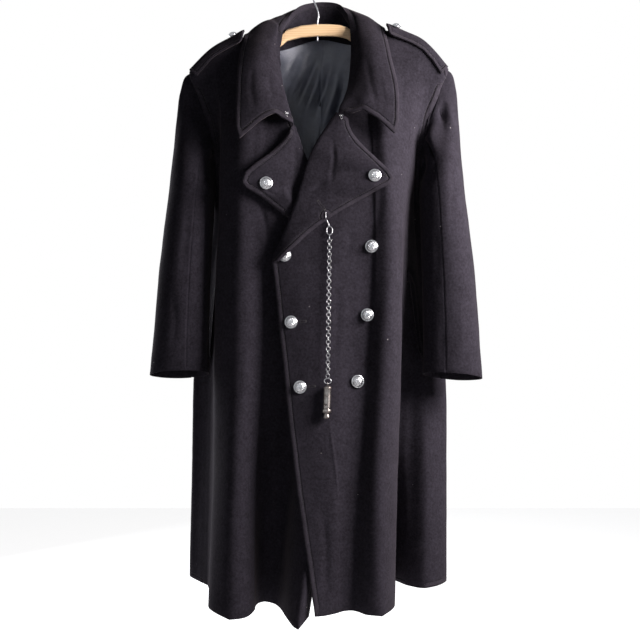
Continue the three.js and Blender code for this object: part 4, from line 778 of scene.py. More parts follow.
# ---- cloth
@dataclass
class Cut:
    """One cut piece of cloth: the solid that it follows and the size that it was cut to.

    Levels is how often its mesh is divided, flat and area its cut size in metres and square metres, which
    nothing here reads, and sewn_to the pieces whose seams it shares. An edge that meets none of them is a
    finished edge, and rowed says whether it has a row of stitches, which runs a band's width in from it.
    Closed_to names the finished pieces whose cut edge this one's seam is drawn against. Rolls are the lines,
    in millimetres of x and z, where the cloth turns over, which are neither stitched edges nor seams.
    """

    node: str
    region: Region
    wall: float
    levels: int
    flat: tuple[float, float]
    area: float
    sewn_to: tuple[str, ...] = ()
    rowed: bool = True
    lowest_row: float = -2.0
    waviness: float = 0.9
    band: float = BAND
    closed_to: tuple[str, ...] = ()
    rolls: tuple[tuple[tuple[float, float], ...], ...] = ()

    def build(self, finish: Material, palette: Palette, made: dict[str, Piece]) -> Piece:
        self.piece = merged_copy(self.node, f"{self.node}_cloth")
        self._mark_walls()
        self._smooth_through_points()
        edges = self._edge_points()
        bevelled_walls(self.piece, self.wall * (0.12 if self.closed_to else 0.32))
        self._store_distances(edges)
        self._lay_creases()
        if self.closed_to:
            self._close_seams([tree_of(made[name].data) for name in self.closed_to])
        palette.finish(self.piece, finish, self.node)
        LOG.info("%s: %d faces", self.piece.name, len(self.piece.data.polygons))
        return self.piece

    def _mark_walls(self) -> None:
        """Keeps the cut edges of the cloth crisp while its faces are smoothed."""
        mesh = self.piece.data
        tree = tree_of(mesh)
        self.walls: list[Vector] = []
        rim = np.zeros(len(mesh.polygons), bool)
        for face in mesh.polygons:
            hit = tree.ray_cast(face.center - face.normal * 1e-5, -face.normal, 0.2)
            rim[face.index] = hit[0] is None or hit[3] > 2.3 * self.wall
        grid = bmesh.new()
        grid.from_mesh(mesh)
        edge_layer = grid.edges.layers.float.new("crease_edge")
        point_layer = grid.verts.layers.float.new("crease_vert")
        grid.faces.ensure_lookup_table()
        for edge in grid.edges:
            if len(edge.link_faces) != 2:
                continue
            turned = rim[edge.link_faces[0].index] != rim[edge.link_faces[1].index]
            if turned or (edge.calc_face_angle(0.0) > CUT_EDGE and self._by_wall(edge)):
                edge[edge_layer] = 1.0
                a, b = (v.co for v in edge.verts)
                self.walls.extend(a.lerp(b, k / 8) for k in range(9))
        for point in grid.verts:
            lines = [e for e in point.link_edges if e[edge_layer] > 0.5]
            if len(lines) == 2:
                a, b = (e.other_vert(point).co - point.co for e in lines)
                if a.length and b.length and math.pi - a.angle(b) > CORNER:
                    point[point_layer] = 1.0
        grid.to_mesh(mesh)
        grid.free()

    def _by_wall(self, edge: bmesh.types.BMEdge) -> bool:
        """Says whether one of an edge's two faces is as narrow as the cloth is thick."""
        widths = (face.calc_area() / max(e.calc_length() for e in face.edges) for face in edge.link_faces)
        return any(width < 1.5 * self.wall for width in widths)

    def _smooth_through_points(self) -> None:
        """Divides the mesh so that the smooth surface still passes through the solid's own points."""
        target = points_of(self.piece.data)
        cage = target.copy()
        smooth = self.piece.modifiers.new("Smooth", "SUBSURF")
        smooth.levels = smooth.render_levels = 1
        for _ in range(6):
            graph = bpy.context.evaluated_depsgraph_get()
            shown = self.piece.evaluated_get(graph).to_mesh()
            got = points_of(shown)[: len(target)]
            cage += 1.15 * (target - got)
            self.piece.evaluated_get(graph).to_mesh_clear()
            move_points(self.piece.data, cage)
            self.piece.update_tag()
            bpy.context.view_layer.update()
        smooth.levels = smooth.render_levels = self.levels
        apply_all(self.piece)

    def _edge_points(self) -> tuple[list[Vector], list[Vector]]:
        """Finds close points along the cloth's finished edges, and along its seams."""
        mesh = self.piece.data
        seams = [rim_points(name) for name in self.sewn_to]
        walls = search_tree(self.walls)
        grid = bmesh.new()
        grid.from_mesh(mesh)
        free, sewn = [], []
        for edge in grid.edges:
            if len(edge.link_faces) != 2 or edge.calc_face_angle(0.0) < SHARP_CORNER:
                continue
            a, b = (v.co for v in edge.verts)
            middle = (a + b) / 2
            if walls.find(middle)[2] > WALL_REACH or self._on_roll(middle):
                continue
            near = any(tree.find(middle)[2] < SEWN_GAP for tree in seams)
            steps = max(2, int((b - a).length / (1.2 * MM)))
            (sewn if near else free).extend(a.lerp(b, k / steps) for k in range(steps + 1))
        grid.free()
        return free, sewn

    def _on_roll(self, place_at: Vector) -> bool:
        """Says whether a place is on one of the lines where the cloth turns over."""
        flat = Vector((place_at.x, place_at.z)) / MM
        for roll in self.rolls:
            for start, end in zip(roll[:-1], roll[1:]):
                a, b = Vector(start), Vector(end)
                share = max(0.0, min(1.0, (flat - a).dot(b - a) / (b - a).length_squared))
                if (flat - a.lerp(b, share)).length < ROLL_WIDTH:
                    return True
        return False

    def _lay_creases(self) -> None:
        """Moves the cloth by the creases of its region and by a faint unevenness."""
        mesh = self.piece.data
        points = points_of(mesh)
        x, y, z = points.T
        middle = -0.012 if self.region in (Region.SLEEVE_LEFT, Region.SLEEVE_RIGHT) else -0.02
        front = np.clip((middle - y) / 0.03 + 0.5, 0, 1)
        for crease in CREASES:
            if crease.region is not self.region:
                continue
            share = front if crease.side is Side.FRONT else 1 - front
            if self.region in (Region.COLLAR, Region.LAPELS, Region.LINING):
                share = 1.0
            points[:, 1] += crease.side.value * crease.lift(x, z) * share
        if self.waviness:
            soft = np.array([noise.noise_vector(Vector(p) * 17.0) for p in points]) * 0.8
            fine = np.array([noise.noise_vector(Vector(p) * 48.0 + Vector((3, 1, 7))) for p in points]) * 0.35
            points += (soft + fine) * self.waviness * MM
        move_points(mesh, points)

    def _close_seams(self, others: Sequence[BVHTree]) -> None:
        """Draws the cloth's open seams against the sheets that they are sewn to."""
        mesh = self.piece.data
        points = points_of(mesh)
        seam = np.empty(len(points), np.float32)
        mesh.attributes["seam"].data.foreach_get("value", seam)
        pulls, at = [], []
        for k in np.flatnonzero(seam < 1.3 * MM):
            found = [tree.find_nearest(Vector(points[k]), SEAM_GAP) for tree in others]
            found = [hit for hit in found if hit[0] is not None]
            if found:
                hit = min(found, key=lambda h: h[3])
                pull = hit[0] - Vector(points[k])
                pulls.append(pull + pull.normalized() * OVERLAP)
                at.append(points[k])
        if not at:
            return
        tree = search_tree(at)
        for k in np.flatnonzero(seam < SEAM_GIVE):
            near = tree.find_n(Vector(points[k]), 3)
            share = max(0.0, 1.0 - near[0][2] / SEAM_GIVE)
            pull = sum((pulls[hit[1]] for hit in near), Vector()) / len(near)
            points[k] += np.array(pull) * share * share * (3 - 2 * share)
        move_points(mesh, points)

    def _store_distances(self, edges: tuple[list[Vector], list[Vector]]) -> None:
        """Stores how far each point lies from a finished edge and from a seam."""
        mesh = self.piece.data
        for name, found in zip(("edge", "seam"), edges):
            used = [p for p in found if name == "seam" or (self.rowed and p.z > self.lowest_row)]
            if not used:
                store(mesh, name, np.full(len(mesh.vertices), FAR))
                continue
            tree = search_tree(used)
            scale = BAND / self.band if name == "edge" else 1.0
            store(mesh, name, (tree.find(v.co)[2] * scale for v in mesh.vertices))


def search_tree(points: Sequence[Vector]) -> KDTree:
    """Builds a search tree over points."""
    tree = KDTree(len(points))
    for k, point in enumerate(points):
        tree.insert(point, k)
    tree.balance()
    return tree


def rim_points(node: str) -> KDTree:
    """Finds close points along the cut edges of a solid's cloth."""
    grid = bmesh.new()
    grid.from_mesh(NODES[node].data)
    bmesh.ops.remove_doubles(grid, verts=grid.verts, dist=DOUBLE)
    found = []
    for edge in grid.edges:
        if len(edge.link_faces) == 2 and edge.calc_face_angle(0.0) > CUT_EDGE:
            a, b = (v.co.copy() for v in edge.verts)
            steps = max(1, int((b - a).length / (1.5 * MM)))
            found.extend(a.lerp(b, k / steps) for k in range(steps + 1))
    grid.free()
    return search_tree(found)


def bevelled_walls(piece: Piece, width: float) -> None:
    """Rounds the cut edges of a sheet a little."""
    bevel = piece.modifiers.new("Soft edge", "BEVEL")
    bevel.width, bevel.segments = width, 2
    bevel.limit_method, bevel.angle_limit = "ANGLE", SHARP_CORNER
    apply_all(piece)
    bpy.ops.object.shade_smooth()


def paired_cuts() -> Iterable[Cut]:
    """Gives the cuts that come as a right and a left one, with the seams and the sizes of each."""
    wall, flats = 2.8 * MM, {"right": ((0.66, 1.19), 0.45, 0.32), "left": ((0.66, 1.18), 0.455, 0.327)}
    for side, (flat, area, _) in flats.items():
        seams = tuple(f"{part}_{side}" for part in ("back", "top_sleeve", "under_sleeve", "lapel"))
        yield Cut(f"front_{side}", Region.BODY, wall, 2, flat, area, (*seams, "collar"), lowest_row=-1.25)
    for (side, (_, _, area)), other in zip(flats.items(), ("left", "right")):
        seams = (f"front_{side}", f"back_{other}", f"top_sleeve_{side}", f"under_sleeve_{side}", "collar")
        yield Cut(f"back_{side}", Region.BODY, wall, 2, (0.38, 1.17), area, seams, rowed=False)
    for side in flats:
        region, body = Region(f"sleeve_{side}"), (f"front_{side}", f"back_{side}")
        top, under = f"top_sleeve_{side}", f"under_sleeve_{side}"
        yield Cut(top, region, wall, 2, (0.24, 0.66), 0.11, (under, *body), rowed=False, closed_to=body)
        yield Cut(under, region, wall, 2, (0.18, 0.52), 0.059, (top, *body), rowed=False,
                  closed_to=(*body, top))


CUTS: tuple[Cut, ...] = (
    *paired_cuts(),
    Cut("lapel_right", Region.LAPELS, 3.4 * MM, 3, (0.15, 0.32), 0.0265, ("front_right",), waviness=0.6,
        rolls=(((-53, -308), (-28, -379), (-34, -433), (-59, -490)),)),
    Cut("lapel_left", Region.LAPELS, 3.4 * MM, 3, (0.17, 0.34), 0.0315, ("front_left",), waviness=0.6,
        rolls=(((39, -290), (-8, -373), (-43, -466), (-85, -574)),)),
    Cut("collar", Region.COLLAR, 3.4 * MM, 3, (0.80, 0.17), 0.094,
        ("front_right", "front_left", "back_right", "back_left"), waviness=0.6,
        rolls=(((-68, -110), (-70, -150), (-68, -210), (-56, -260), (-42, -292)),
               ((64, -110), (70, -150), (66, -200), (58, -250), (48, -284)))),
    Cut("shoulder_strap_right", Region.TRIM, 4 * MM, 3, (0.056, 0.15), 0.0078, waviness=0.3, band=6.5 * MM),
    Cut("shoulder_strap_left", Region.TRIM, 4 * MM, 3, (0.056, 0.165), 0.0086, waviness=0.3, band=6.5 * MM),
    Cut("pocket_welt_right", Region.TRIM, 2.6 * MM, 3, (0.018, 0.206), 0.003, waviness=0.0, band=3.2 * MM),
    Cut("pocket_welt_left", Region.TRIM, 2.6 * MM, 3, (0.020, 0.206), 0.0034, waviness=0.0, band=3.2 * MM),
)
LINING_CUT = Cut("back_lining", Region.LINING, 1.4 * MM, 4, (0.30, 0.38), 0.078, rowed=False, waviness=1.2)


class Garment:
    """All the cloth of the coat."""

    def __init__(self, palette: Palette) -> None:
        """Keeps the palette and the finished sheets by their solids' names."""
        self.palette = palette
        self.sheets: dict[str, Piece] = {}

    def build(self) -> None:
        """Makes every sheet of cloth."""
        for cut in CUTS:
            self.sheets[cut.node] = cut.build(self.palette.wool, self.palette, self.sheets)
        self.sheets[LINING_CUT.node] = LINING_CUT.build(self.palette.satin, self.palette, self.sheets)

    def front_at(self, x: float, z: float, on: Sequence[str]) -> tuple[Vector, Vector]:
        """Finds the place and normal where a line from the front first meets one of the named sheets."""
        hits = [self._trees()[name].ray_cast(Vector((x, -0.6, z)), Vector((0, 1, 0)), 1.2) for name in on]
        hits = [hit for hit in hits if hit[0] is not None]
        if not hits:
            raise ValueError(f"no cloth at {x:.3f}, {z:.3f}")
        return min(hits, key=lambda hit: hit[3])[:2]

    def _trees(self) -> dict[str, BVHTree]:
        """Builds the search trees of the sheets once."""
        if not hasattr(self, "_built"):
            self._built = {name: tree_of(sheet.data) for name, sheet in self.sheets.items()}
        return self._built


# ---- stitches
@dataclass
class StitchRows:
    """Rows of machine stitches that follow the finished edges of the cloth."""

    length: float = 2.7 * MM
    pitch: float = 4.1 * MM
    thick: float = 0.42 * MM
    sunk: float = 0.1 * MM

    def build(self, garment: Garment, palette: Palette) -> None:
        """Sews a row a band's width in from each finished edge."""
        for cut in CUTS:
            if not cut.rowed:
                continue
            sheet = garment.sheets[cut.node]
            places = [place_at for line in self._rows(sheet.data) for place_at in self._spaced(line)]
            if not places:
                continue
            points, faces = zip(*(self.stitch(*where) for where in places))
            row = join(f"{cut.node}_stitches", points, faces)
            palette.finish(row, palette.thread)
            LOG.info("%s: %d stitches", row.name, len(places))

    def _rows(self, mesh: Mesh) -> list[list[tuple[Vector, Vector]]]:
        """Finds the lines of places, with normals, that lie a band's width from the cloth's edge."""
        layer = np.empty(len(mesh.vertices), np.float32)
        mesh.attributes["edge"].data.foreach_get("value", layer)
        mesh.calc_loop_triangles()
        crossing: dict[tuple[int, int], tuple[Vector, Vector]] = {}
        links: dict[tuple[int, int], list[tuple[int, int]]] = {}
        for triangle in mesh.loop_triangles:
            keys = []
            corners = list(triangle.vertices)
            for a, b in ((0, 1), (1, 2), (2, 0)):
                i, j = sorted((corners[a], corners[b]))
                if (layer[i] < BAND) != (layer[j] < BAND):
                    key = (i, j)
                    if key not in crossing:
                        share = float((BAND - layer[i]) / (layer[j] - layer[i]))
                        one, two = mesh.vertices[i], mesh.vertices[j]
                        crossing[key] = (one.co.lerp(two.co, share), one.normal.lerp(two.normal, share))
                    keys.append(key)
            if len(keys) == 2:
                links.setdefault(keys[0], []).append(keys[1])
                links.setdefault(keys[1], []).append(keys[0])
        lines, seen = [], set()
        for start in sorted(links, key=lambda k: (len(links[k]) != 1, k)):
            if start in seen:
                continue
            line, here = [], start
            while here is not None:
                seen.add(here)
                line.append(crossing[here])
                here = next((k for k in links[here] if k not in seen), None)
            if len(line) > 6:
                lines.append(line)
        return lines

    def _spaced(self, line: list[tuple[Vector, Vector]]) -> Iterable[tuple[Vector, Vector, Vector]]:
        """Walks along a line and gives each stitch's place, direction and normal."""
        want = self.pitch / 2
        for (a, normal), (b, _) in zip(line[:-1], line[1:]):
            step = (b - a).length
            while step > 1e-7 and want <= step:
                yield a.lerp(b, want / step), (b - a).normalized(), normal.normalized()
                want += self.pitch
            want -= step

    def stitch(self, at: Vector, along: Vector, up: Vector) -> tuple[np.ndarray, np.ndarray]:
        """Makes one stitch: a short thread that dips into the cloth at both ends."""
        side = up.cross(along).normalized()
        rows = ((-0.5, 0.25, -0.55), (-0.3, 0.9, 0.0), (0.3, 0.9, 0.0), (0.5, 0.25, -0.55))
        points = []
        for share, girth, dip in rows:
            centre = at + along * (share * self.length) + up * (dip * self.thick - self.sunk)
            for k in range(5):
                turn = 2 * math.pi * k / 5
                points.append(centre + (side * math.cos(turn) + up * math.sin(turn)) * (girth * self.thick))
        faces = [[5 * r + k, 5 * r + (k + 1) % 5, 5 * r + 5 + (k + 1) % 5, 5 * r + 5 + k]
                 for r in range(3) for k in range(5)]
        return np.array([tuple(p) for p in points]), np.array(faces)


@dataclass(frozen=True)
class Buttonhole:
    """A worked buttonhole: a slit with a close whip of thread all round.

    The middle is x, z in millimetres, and the slope is the slit's angle in degrees.
    """

    name: str
    middle: tuple[float, float]
    slope: float
    on: tuple[str, ...]
    length: float = 21 * MM
    whips: int = 64

    def build(self, garment: "Garment", palette: Palette) -> None:
        """Works the buttonhole on the cloth."""
        turn = math.radians(self.slope)
        across, up = Vector((math.cos(turn), 0, math.sin(turn))), Vector((-math.sin(turn), 0, math.cos(turn)))
        middle = Vector((self.middle[0], 0, self.middle[1])) * MM
        needle = StitchRows(length=2.5 * MM, thick=0.30 * MM, sunk=-0.05 * MM)
        points, faces = [], []
        for k in range(self.whips):
            share = 2 * math.pi * (k + 0.5) / self.whips
            way = Vector((math.cos(share), 0, math.sin(share)))
            end = max(-1.0, min(1.0, 2.2 * math.cos(share)))
            flat = across * (end * self.length / 2 + way.x * 1.2 * MM) + up * (way.z * 1.9 * MM) + middle
            place_on, normal = garment.front_at(flat.x, flat.z, self.on)
            spoke = across * way.x * (1.0 if abs(end) >= 1 else 0.15) + up * way.z
            along = (spoke - normal * spoke.dot(normal)).normalized()
            own, part = needle.stitch(place_on, along, normal)
            points.append(own)
            faces.append(part)
        hole = join(f"buttonhole_{self.name}", points, faces)
        palette.finish(hole, palette.thread)


BUTTONHOLES = (
    Buttonhole("lapel", (6.5, -474), -53, ("lapel_left",)),
    Buttonhole("middle", (-35, -703), 2, ("front_left",)),
    Buttonhole("bottom", (-17, -830), 2, ("front_left",)),
    Buttonhole("left_lapel_button", (128, -415), 2, ("lapel_left",), 12 * MM, 40),
)


# ---- buttons
def seat_of(node: str) -> tuple[Vector, Vector, float]:
    """Finds the middle of a round solid's back, the way it faces and its radius."""
    points = points_of(NODES[node].data)
    middle = (points.min(0) + points.max(0)) / 2
    _, _, ways = np.linalg.svd(points - points.mean(0), full_matrices=False)
    axis = Vector(ways[2])
    centred = points - middle
    depth = centred @ np.array(axis)
    reach = np.linalg.norm(centred - np.outer(depth, np.array(axis)), axis=1)
    radius = float(reach.max())
    edge = 0.12 * np.ptp(depth)
    if reach[depth > depth.max() - edge].mean() > reach[depth < depth.min() + edge].mean():
        axis, depth = -axis, -depth
    return Vector(middle) + axis * float(depth.min()), axis, radius


@dataclass
class Button:
    """A domed uniform button with a turned rim and a plain ring of rays."""

    node: str
    height: float
    rays: int = 24
    sides: int = 48
    # the share of the radius that each ring has, and how much it rises from the last
    DOME: ClassVar[tuple[tuple[float, float], ...]] = (
        (0.93, 0.35), (0.88, -0.45), (0.84, 0.55), (0.76, 1.15), (0.66, 1.1), (0.55, 0.95), (0.44, 0.72),
        (0.33, 0.5), (0.22, 0.32), (0.1, 0.18),
    )

    def build(self, palette: Palette) -> None:
        """Models the button at its solid's place."""
        seat, axis, radius = seat_of(self.node)
        only(NODES[self.node])
        bpy.ops.object.select_all(action="DESELECT")
        bpy.ops.mesh.primitive_cylinder_add(vertices=self.sides, radius=radius * 0.9, depth=0.9 * MM,
                                            location=(0, 0, 0.45 * MM))
        button = bpy.context.object
        button.name = button.data.name = f"{self.node}_metal"
        bpy.ops.object.transform_apply(location=True, rotation=True, scale=True)
        mode("EDIT")
        bpy.ops.mesh.select_all(action="DESELECT")
        mode("OBJECT")
        for face in button.data.polygons:
            face.select = face.normal.z > 0.9
        mode("EDIT")
        extrude_up(0.7 * MM)
        bpy.ops.transform.resize(value=(1.111, 1.111, 1.0))
        extrude_up(0.9 * MM)
        reach = 1.0
        whole = self.height - 2.5 * MM
        total = sum(rise for _, rise in self.DOME)
        for share, rise in self.DOME:
            bpy.ops.mesh.inset(thickness=(reach - share) * radius, depth=0.0)
            bpy.ops.transform.translate(value=(0, 0, rise / total * whole))
            reach = share
        mode("OBJECT")
        self._raise_rays(button, radius)
        bevelled(button, 0.18 * MM, 2, 35.0)
        place(button, facing_frame(seat, axis))
        palette.finish(button, palette.silver, self.node)

    def _raise_rays(self, button: Piece, radius: float) -> None:
        """Raises every other sector of the dome's middle rings by a hair."""
        sector = 2 * math.pi / self.rays

        def in_ray(face: bpy.types.MeshPolygon) -> bool:
            """Says whether a face is in one of the raised sectors."""
            reach = math.hypot(face.center.x, face.center.y) / radius
            turn = math.atan2(face.center.y, face.center.x) % (2 * math.pi)
            return 0.3 < reach < 0.72 and face.normal.z > 0.3 and int(turn / sector) % 2 == 0

        open_faces(button, in_ray)
        bpy.ops.mesh.inset(thickness=0.12 * MM, depth=0.34 * MM)
        close_faces()


def sew_on_buttons(palette: Palette) -> None:
    """Models eight buttons on the fronts and lapels, and a small one on each strap."""
    sides = ("right", "left")
    rows = [f"lapel_{side}" for side in sides]
    rows += [f"{side}_{row}" for side in sides for row in ("top", "middle", "bottom")]
    for row in rows:
        Button(f"button_{row}", 8.2 * MM).build(palette)
    for side in sides:
        Button(f"button_strap_{side}", 6.2 * MM, rays=16, sides=32).build(palette)
    LOG.info("buttons: ten")


# ---- hanger
class Hanger:
    """The wooden hanger and its hook of bent wire."""

    HOOK: ClassVar[tuple[tuple[float, float, float], ...]] = (
        (-1.4, 4.8, -119), (-1.4, 4.8, -102), (-1.4, 4.8, -84),
        (0.5, 3, -62), (-4.5, 1.4, -46), (-11, 0.3, -32),
    )
    BEND: ClassVar[float] = 17.75
    TURNS: ClassVar[tuple[float, ...]] = (212, 180, 145, 110, 75, 40, 5, -32)
    WIRE: ClassVar[float] = 1.75 * MM

    def build(self, palette: Palette) -> None:
        """Models the wood and the hook."""
        wood = merged_copy("hanger_wood", "hanger_wood_bar")
        bevelled(wood, 0.9 * MM, 3, 25.0)
        palette.finish(wood, palette.maple, "hanger_wood")
        points = [Vector(p) * MM for p in self.HOOK]
        for degrees in self.TURNS:
            turn = math.radians(degrees)
            points.append(Vector((math.cos(turn), 0, math.sin(turn))) * self.BEND * MM)
        hook = wire("hanger_hook_wire", points, self.WIRE, rings=8)
        palette.finish(hook, palette.nickel, "hanger_hook")
        LOG.info("hanger: wood and hook")


# ---- whistle, chain and lapel hook
CHAIN_PIVOT = Vector((22.8, -108.293, -532)) * MM
WHISTLE_PIVOT = Vector((19, -134.291, -824)) * MM
WHISTLE_WAY = Vector((-0.03608, -0.14889, -0.98820)).normalized()
RING_TOP = Vector((22.8, -104.764, -515)) * MM


def oval(name: str, centre: Vector, across: Vector, half_across: float, along: Vector, half_along: float,
         radius: float) -> Piece:
    """Makes an oval ring of wire from a torus, in place.

    Args:
        name: The piece's name.
        centre: The ring's middle.
        across: The direction of its width.
        half_across: Half its width, to the wire's middle.
        along: The direction of its length.
        half_along: Half its length, to the wire's middle.
        radius: The wire's radius.
    """
    bpy.ops.object.select_all(action="DESELECT")
    bpy.ops.mesh.primitive_torus_add(major_radius=1.0, minor_radius=0.25, major_segments=20, minor_segments=8)
    ring = bpy.context.object
    ring.name = ring.data.name = name
    points = points_of(ring.data)
    reach = np.hypot(points[:, 0], points[:, 1])
    way = points[:, :2] / reach[:, None]
    out = (reach - 1.0) / 0.25 * radius
    slope = np.column_stack((way[:, 0] / half_across, way[:, 1] / half_along))
    slope /= np.linalg.norm(slope, axis=1)[:, None]
    points[:, 0] = way[:, 0] * half_across + slope[:, 0] * out
    points[:, 1] = way[:, 1] * half_along + slope[:, 1] * out
    points[:, 2] *= radius / 0.25
    move_points(ring.data, points)
    x = across.normalized()
    y = (along - x * along.dot(x)).normalized()
    place(ring, Matrix.Translation(centre) @ Matrix((x, y, x.cross(y))).transposed().to_4x4())
    only(ring)
    bpy.ops.object.shade_smooth()
    return ring


@dataclass
class WhistleChain:
    """The chain of small links between the lapel's ring and the whistle."""

    half_width: float = 3.9 * MM
    half_length: float = 4.2 * MM
    thick: float = 0.70 * MM
    links: int = 42
    end_ring: tuple[float, float] = (6.8 * MM, 5.2 * MM)

    def build(self, palette: Palette) -> None:
        """Links the chain, each link turned from the last."""
        down = (WHISTLE_PIVOT - CHAIN_PIVOT).normalized()
        right = Vector((1, 0, 0))
        start = CHAIN_PIVOT + down * 1.6 * MM
        end = WHISTLE_PIVOT - down * (2 * self.end_ring[1] + 0.4 * MM)
        pitch = ((end - start).length - 2 * self.half_length) / (self.links - 1)
        made = []
        for k in range(self.links):
            centre = start + down * (self.half_length + pitch * k)
            turn = math.radians(90 * ((k + 1) % 2) + 6 + 15 * math.sin(k * 0.21) + 6 * math.sin(k * 1.3))
            across = Matrix.Rotation(turn, 3, down) @ right
            size = (across, self.half_width, down, self.half_length, self.thick)
            made.append(oval(f"link_{k}", centre, *size))
        made.append(oval("end_ring", WHISTLE_PIVOT - down * self.end_ring[1], right, self.end_ring[0], down,
                         self.end_ring[1], 1.0 * MM))
        palette.finish(joined("whistle_chain_links", made), palette.nickel, "whistle_chain", CHAIN)
        LOG.info("whistle chain: %d links", self.links)


class CollarFastening:
    """The hook and the eye of bent wire that close the collar at the throat."""

    ON: ClassVar[tuple[str, ...]] = ("collar", "front_right", "front_left", "lapel_right", "lapel_left")

    def build(self, garment: "Garment", palette: Palette) -> None:
        """Bends the hook and the eye on the cloth."""
        for name, x, z in (("eye", -62.5, -290.0), ("hook", 46.5, -295.5)):
            # two sewn rings and the loop below them: place, height over the cloth, half sizes and wire
            rings = [(x + side * 1.9, z + 2.2, 0.35, 1.5, 1.5, 0.42) for side in (-1, 1)]
            rings.append((x, z - 2.5, 0.55, 1.7, 3.4, 0.45))
            parts = []
            for ring_x, ring_z, over, half_across, half_along, radius in rings:
                at, normal = garment.front_at(ring_x * MM, ring_z * MM, self.ON)
                across = (Vector((1, 0, 0)) - normal * normal.x).normalized()
                along = normal.cross(across)
                parts.append(oval(name, at + normal * over * MM, across, half_across * MM, along,
                                  half_along * MM, radius * MM))
            palette.finish(joined(f"collar_{name}", parts), palette.nickel)
        LOG.info("collar fastening: hook and eye")


class LapelHook:
    """The bar in the lapel's buttonhole with the ring that the chain hangs from."""

    X, TOP, BOTTOM, HOLE = 15.3, -488, -500, -494
    RING: ClassVar[tuple[float, float]] = (5.75 * MM, 1.0 * MM)

    def build(self, palette: Palette) -> None:
        """Models the bar, its stem and the ring."""
        low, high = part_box("lapel_hook")
        front = low.y + 1.0 * MM
        heights = (self.TOP, self.HOLE, self.BOTTOM)
        bar = wire("bar", [Vector((self.X * MM, front, z * MM)) for z in heights], 1.0 * MM)
        stem = wire("stem", [
            Vector((self.X * MM, front, self.HOLE * MM)),
            Vector((self.X * MM, front + 6.2 * MM, self.HOLE * MM)),
            Vector(((self.X + 2) * MM, high.y - 1.4 * MM, (self.HOLE - 7) * MM)), RING_TOP,
        ], 0.9 * MM)
        down = CHAIN_PIVOT - RING_TOP
        ring = oval("ring", (RING_TOP + CHAIN_PIVOT) / 2, Vector((1, 0, 0)), self.RING[0], down,
                    down.length / 2, self.RING[1])
        palette.finish(joined("lapel_hook_wire", [bar, stem, ring]), palette.nickel, "lapel_hook")
        LOG.info("lapel hook: bar, stem and ring")


@dataclass
class Whistle:
    """A turned tube whistle with a capped end, two windows and a stepped mouthpiece."""

    profile: tuple[tuple[float, float], ...] = (
        (2.6, 1.4), (3.4, 3.2), (4.6, 5.7), (6.2, 7.2), (7.2, 7.8), (9.6, 7.9), (10.2, 7.5), (10.8, 7.3),
        (24.0, 7.35), (36.0, 7.35), (40.0, 7.35), (44.0, 7.35), (47.2, 7.4), (48.0, 6.8), (49.2, 6.5),
        (49.8, 7.4), (50.4, 8.6), (51.4, 9.0), (55.8, 9.0), (56.8, 8.5), (57.6, 6.6), (58.4, 5.5),
        (60.0, 5.3), (61.0, 6.0), (66.4, 6.1), (67.4, 5.4), (67.6, 4.2),
    )
    sides: int = 32

    def build(self, palette: Palette) -> None:
        """Turns the whistle and cuts its windows."""
        bpy.ops.object.select_all(action="DESELECT")
        (start, radius), *rest = self.profile
        bpy.ops.mesh.primitive_circle_add(vertices=self.sides, radius=radius * MM, fill_type="NGON",
                                          location=(0, 0, start * MM))
        body = bpy.context.object
        bpy.ops.object.transform_apply(location=True, rotation=True, scale=True)
        mode("EDIT")
        bpy.ops.mesh.select_all(action="SELECT")
        before, was = start, radius
        for distance, now in rest:
            extrude_up((distance - before) * MM)
            bpy.ops.transform.resize(value=(now / was, now / was, 1.0))
            before, was = distance, now
        bpy.ops.mesh.inset(thickness=1.2 * MM, depth=0.0)
        extrude_up(-3.0 * MM)
        mode("OBJECT")
        tidy_normals(body)
        self._cut_windows(body)
        bevelled(body, 0.2 * MM, 2, 35.0)
        eye = oval("eye", Vector((0, 0, 0.9 * MM)), Vector((0, 1, 0)), 2.6 * MM, Vector((0, 0, 1)), 3.2 * MM,
                   0.8 * MM)
        whistle = joined("whistle_tube", [body, eye])
        place(whistle, facing_frame(WHISTLE_PIVOT, WHISTLE_WAY))
        palette.finish(whistle, palette.old_nickel, "whistle", WHISTLE)
        LOG.info("whistle: %d faces", len(whistle.data.polygons))

    def _cut_windows(self, body: Piece) -> None:
        """Sinks a window into each side of the tube below its middle."""

        def in_window(face: bpy.types.MeshPolygon) -> bool:
            """Says whether a face is where the tube is cut."""
            centre = face.center
            turn = (math.degrees(math.atan2(centre.y, centre.x)) - 112) % 180
            return (40 * MM < centre.z < 44 * MM and math.hypot(centre.x, centre.y) > 6 * MM
                    and (turn < 36 or turn > 144))

        open_faces(body, in_window)
        bpy.ops.mesh.inset(thickness=0.35 * MM, depth=0.0)
        bpy.ops.mesh.extrude_region_move()
        bpy.ops.transform.resize(value=(0.62, 0.62, 1.0), center_override=(0, 0, 42 * MM))
        close_faces()


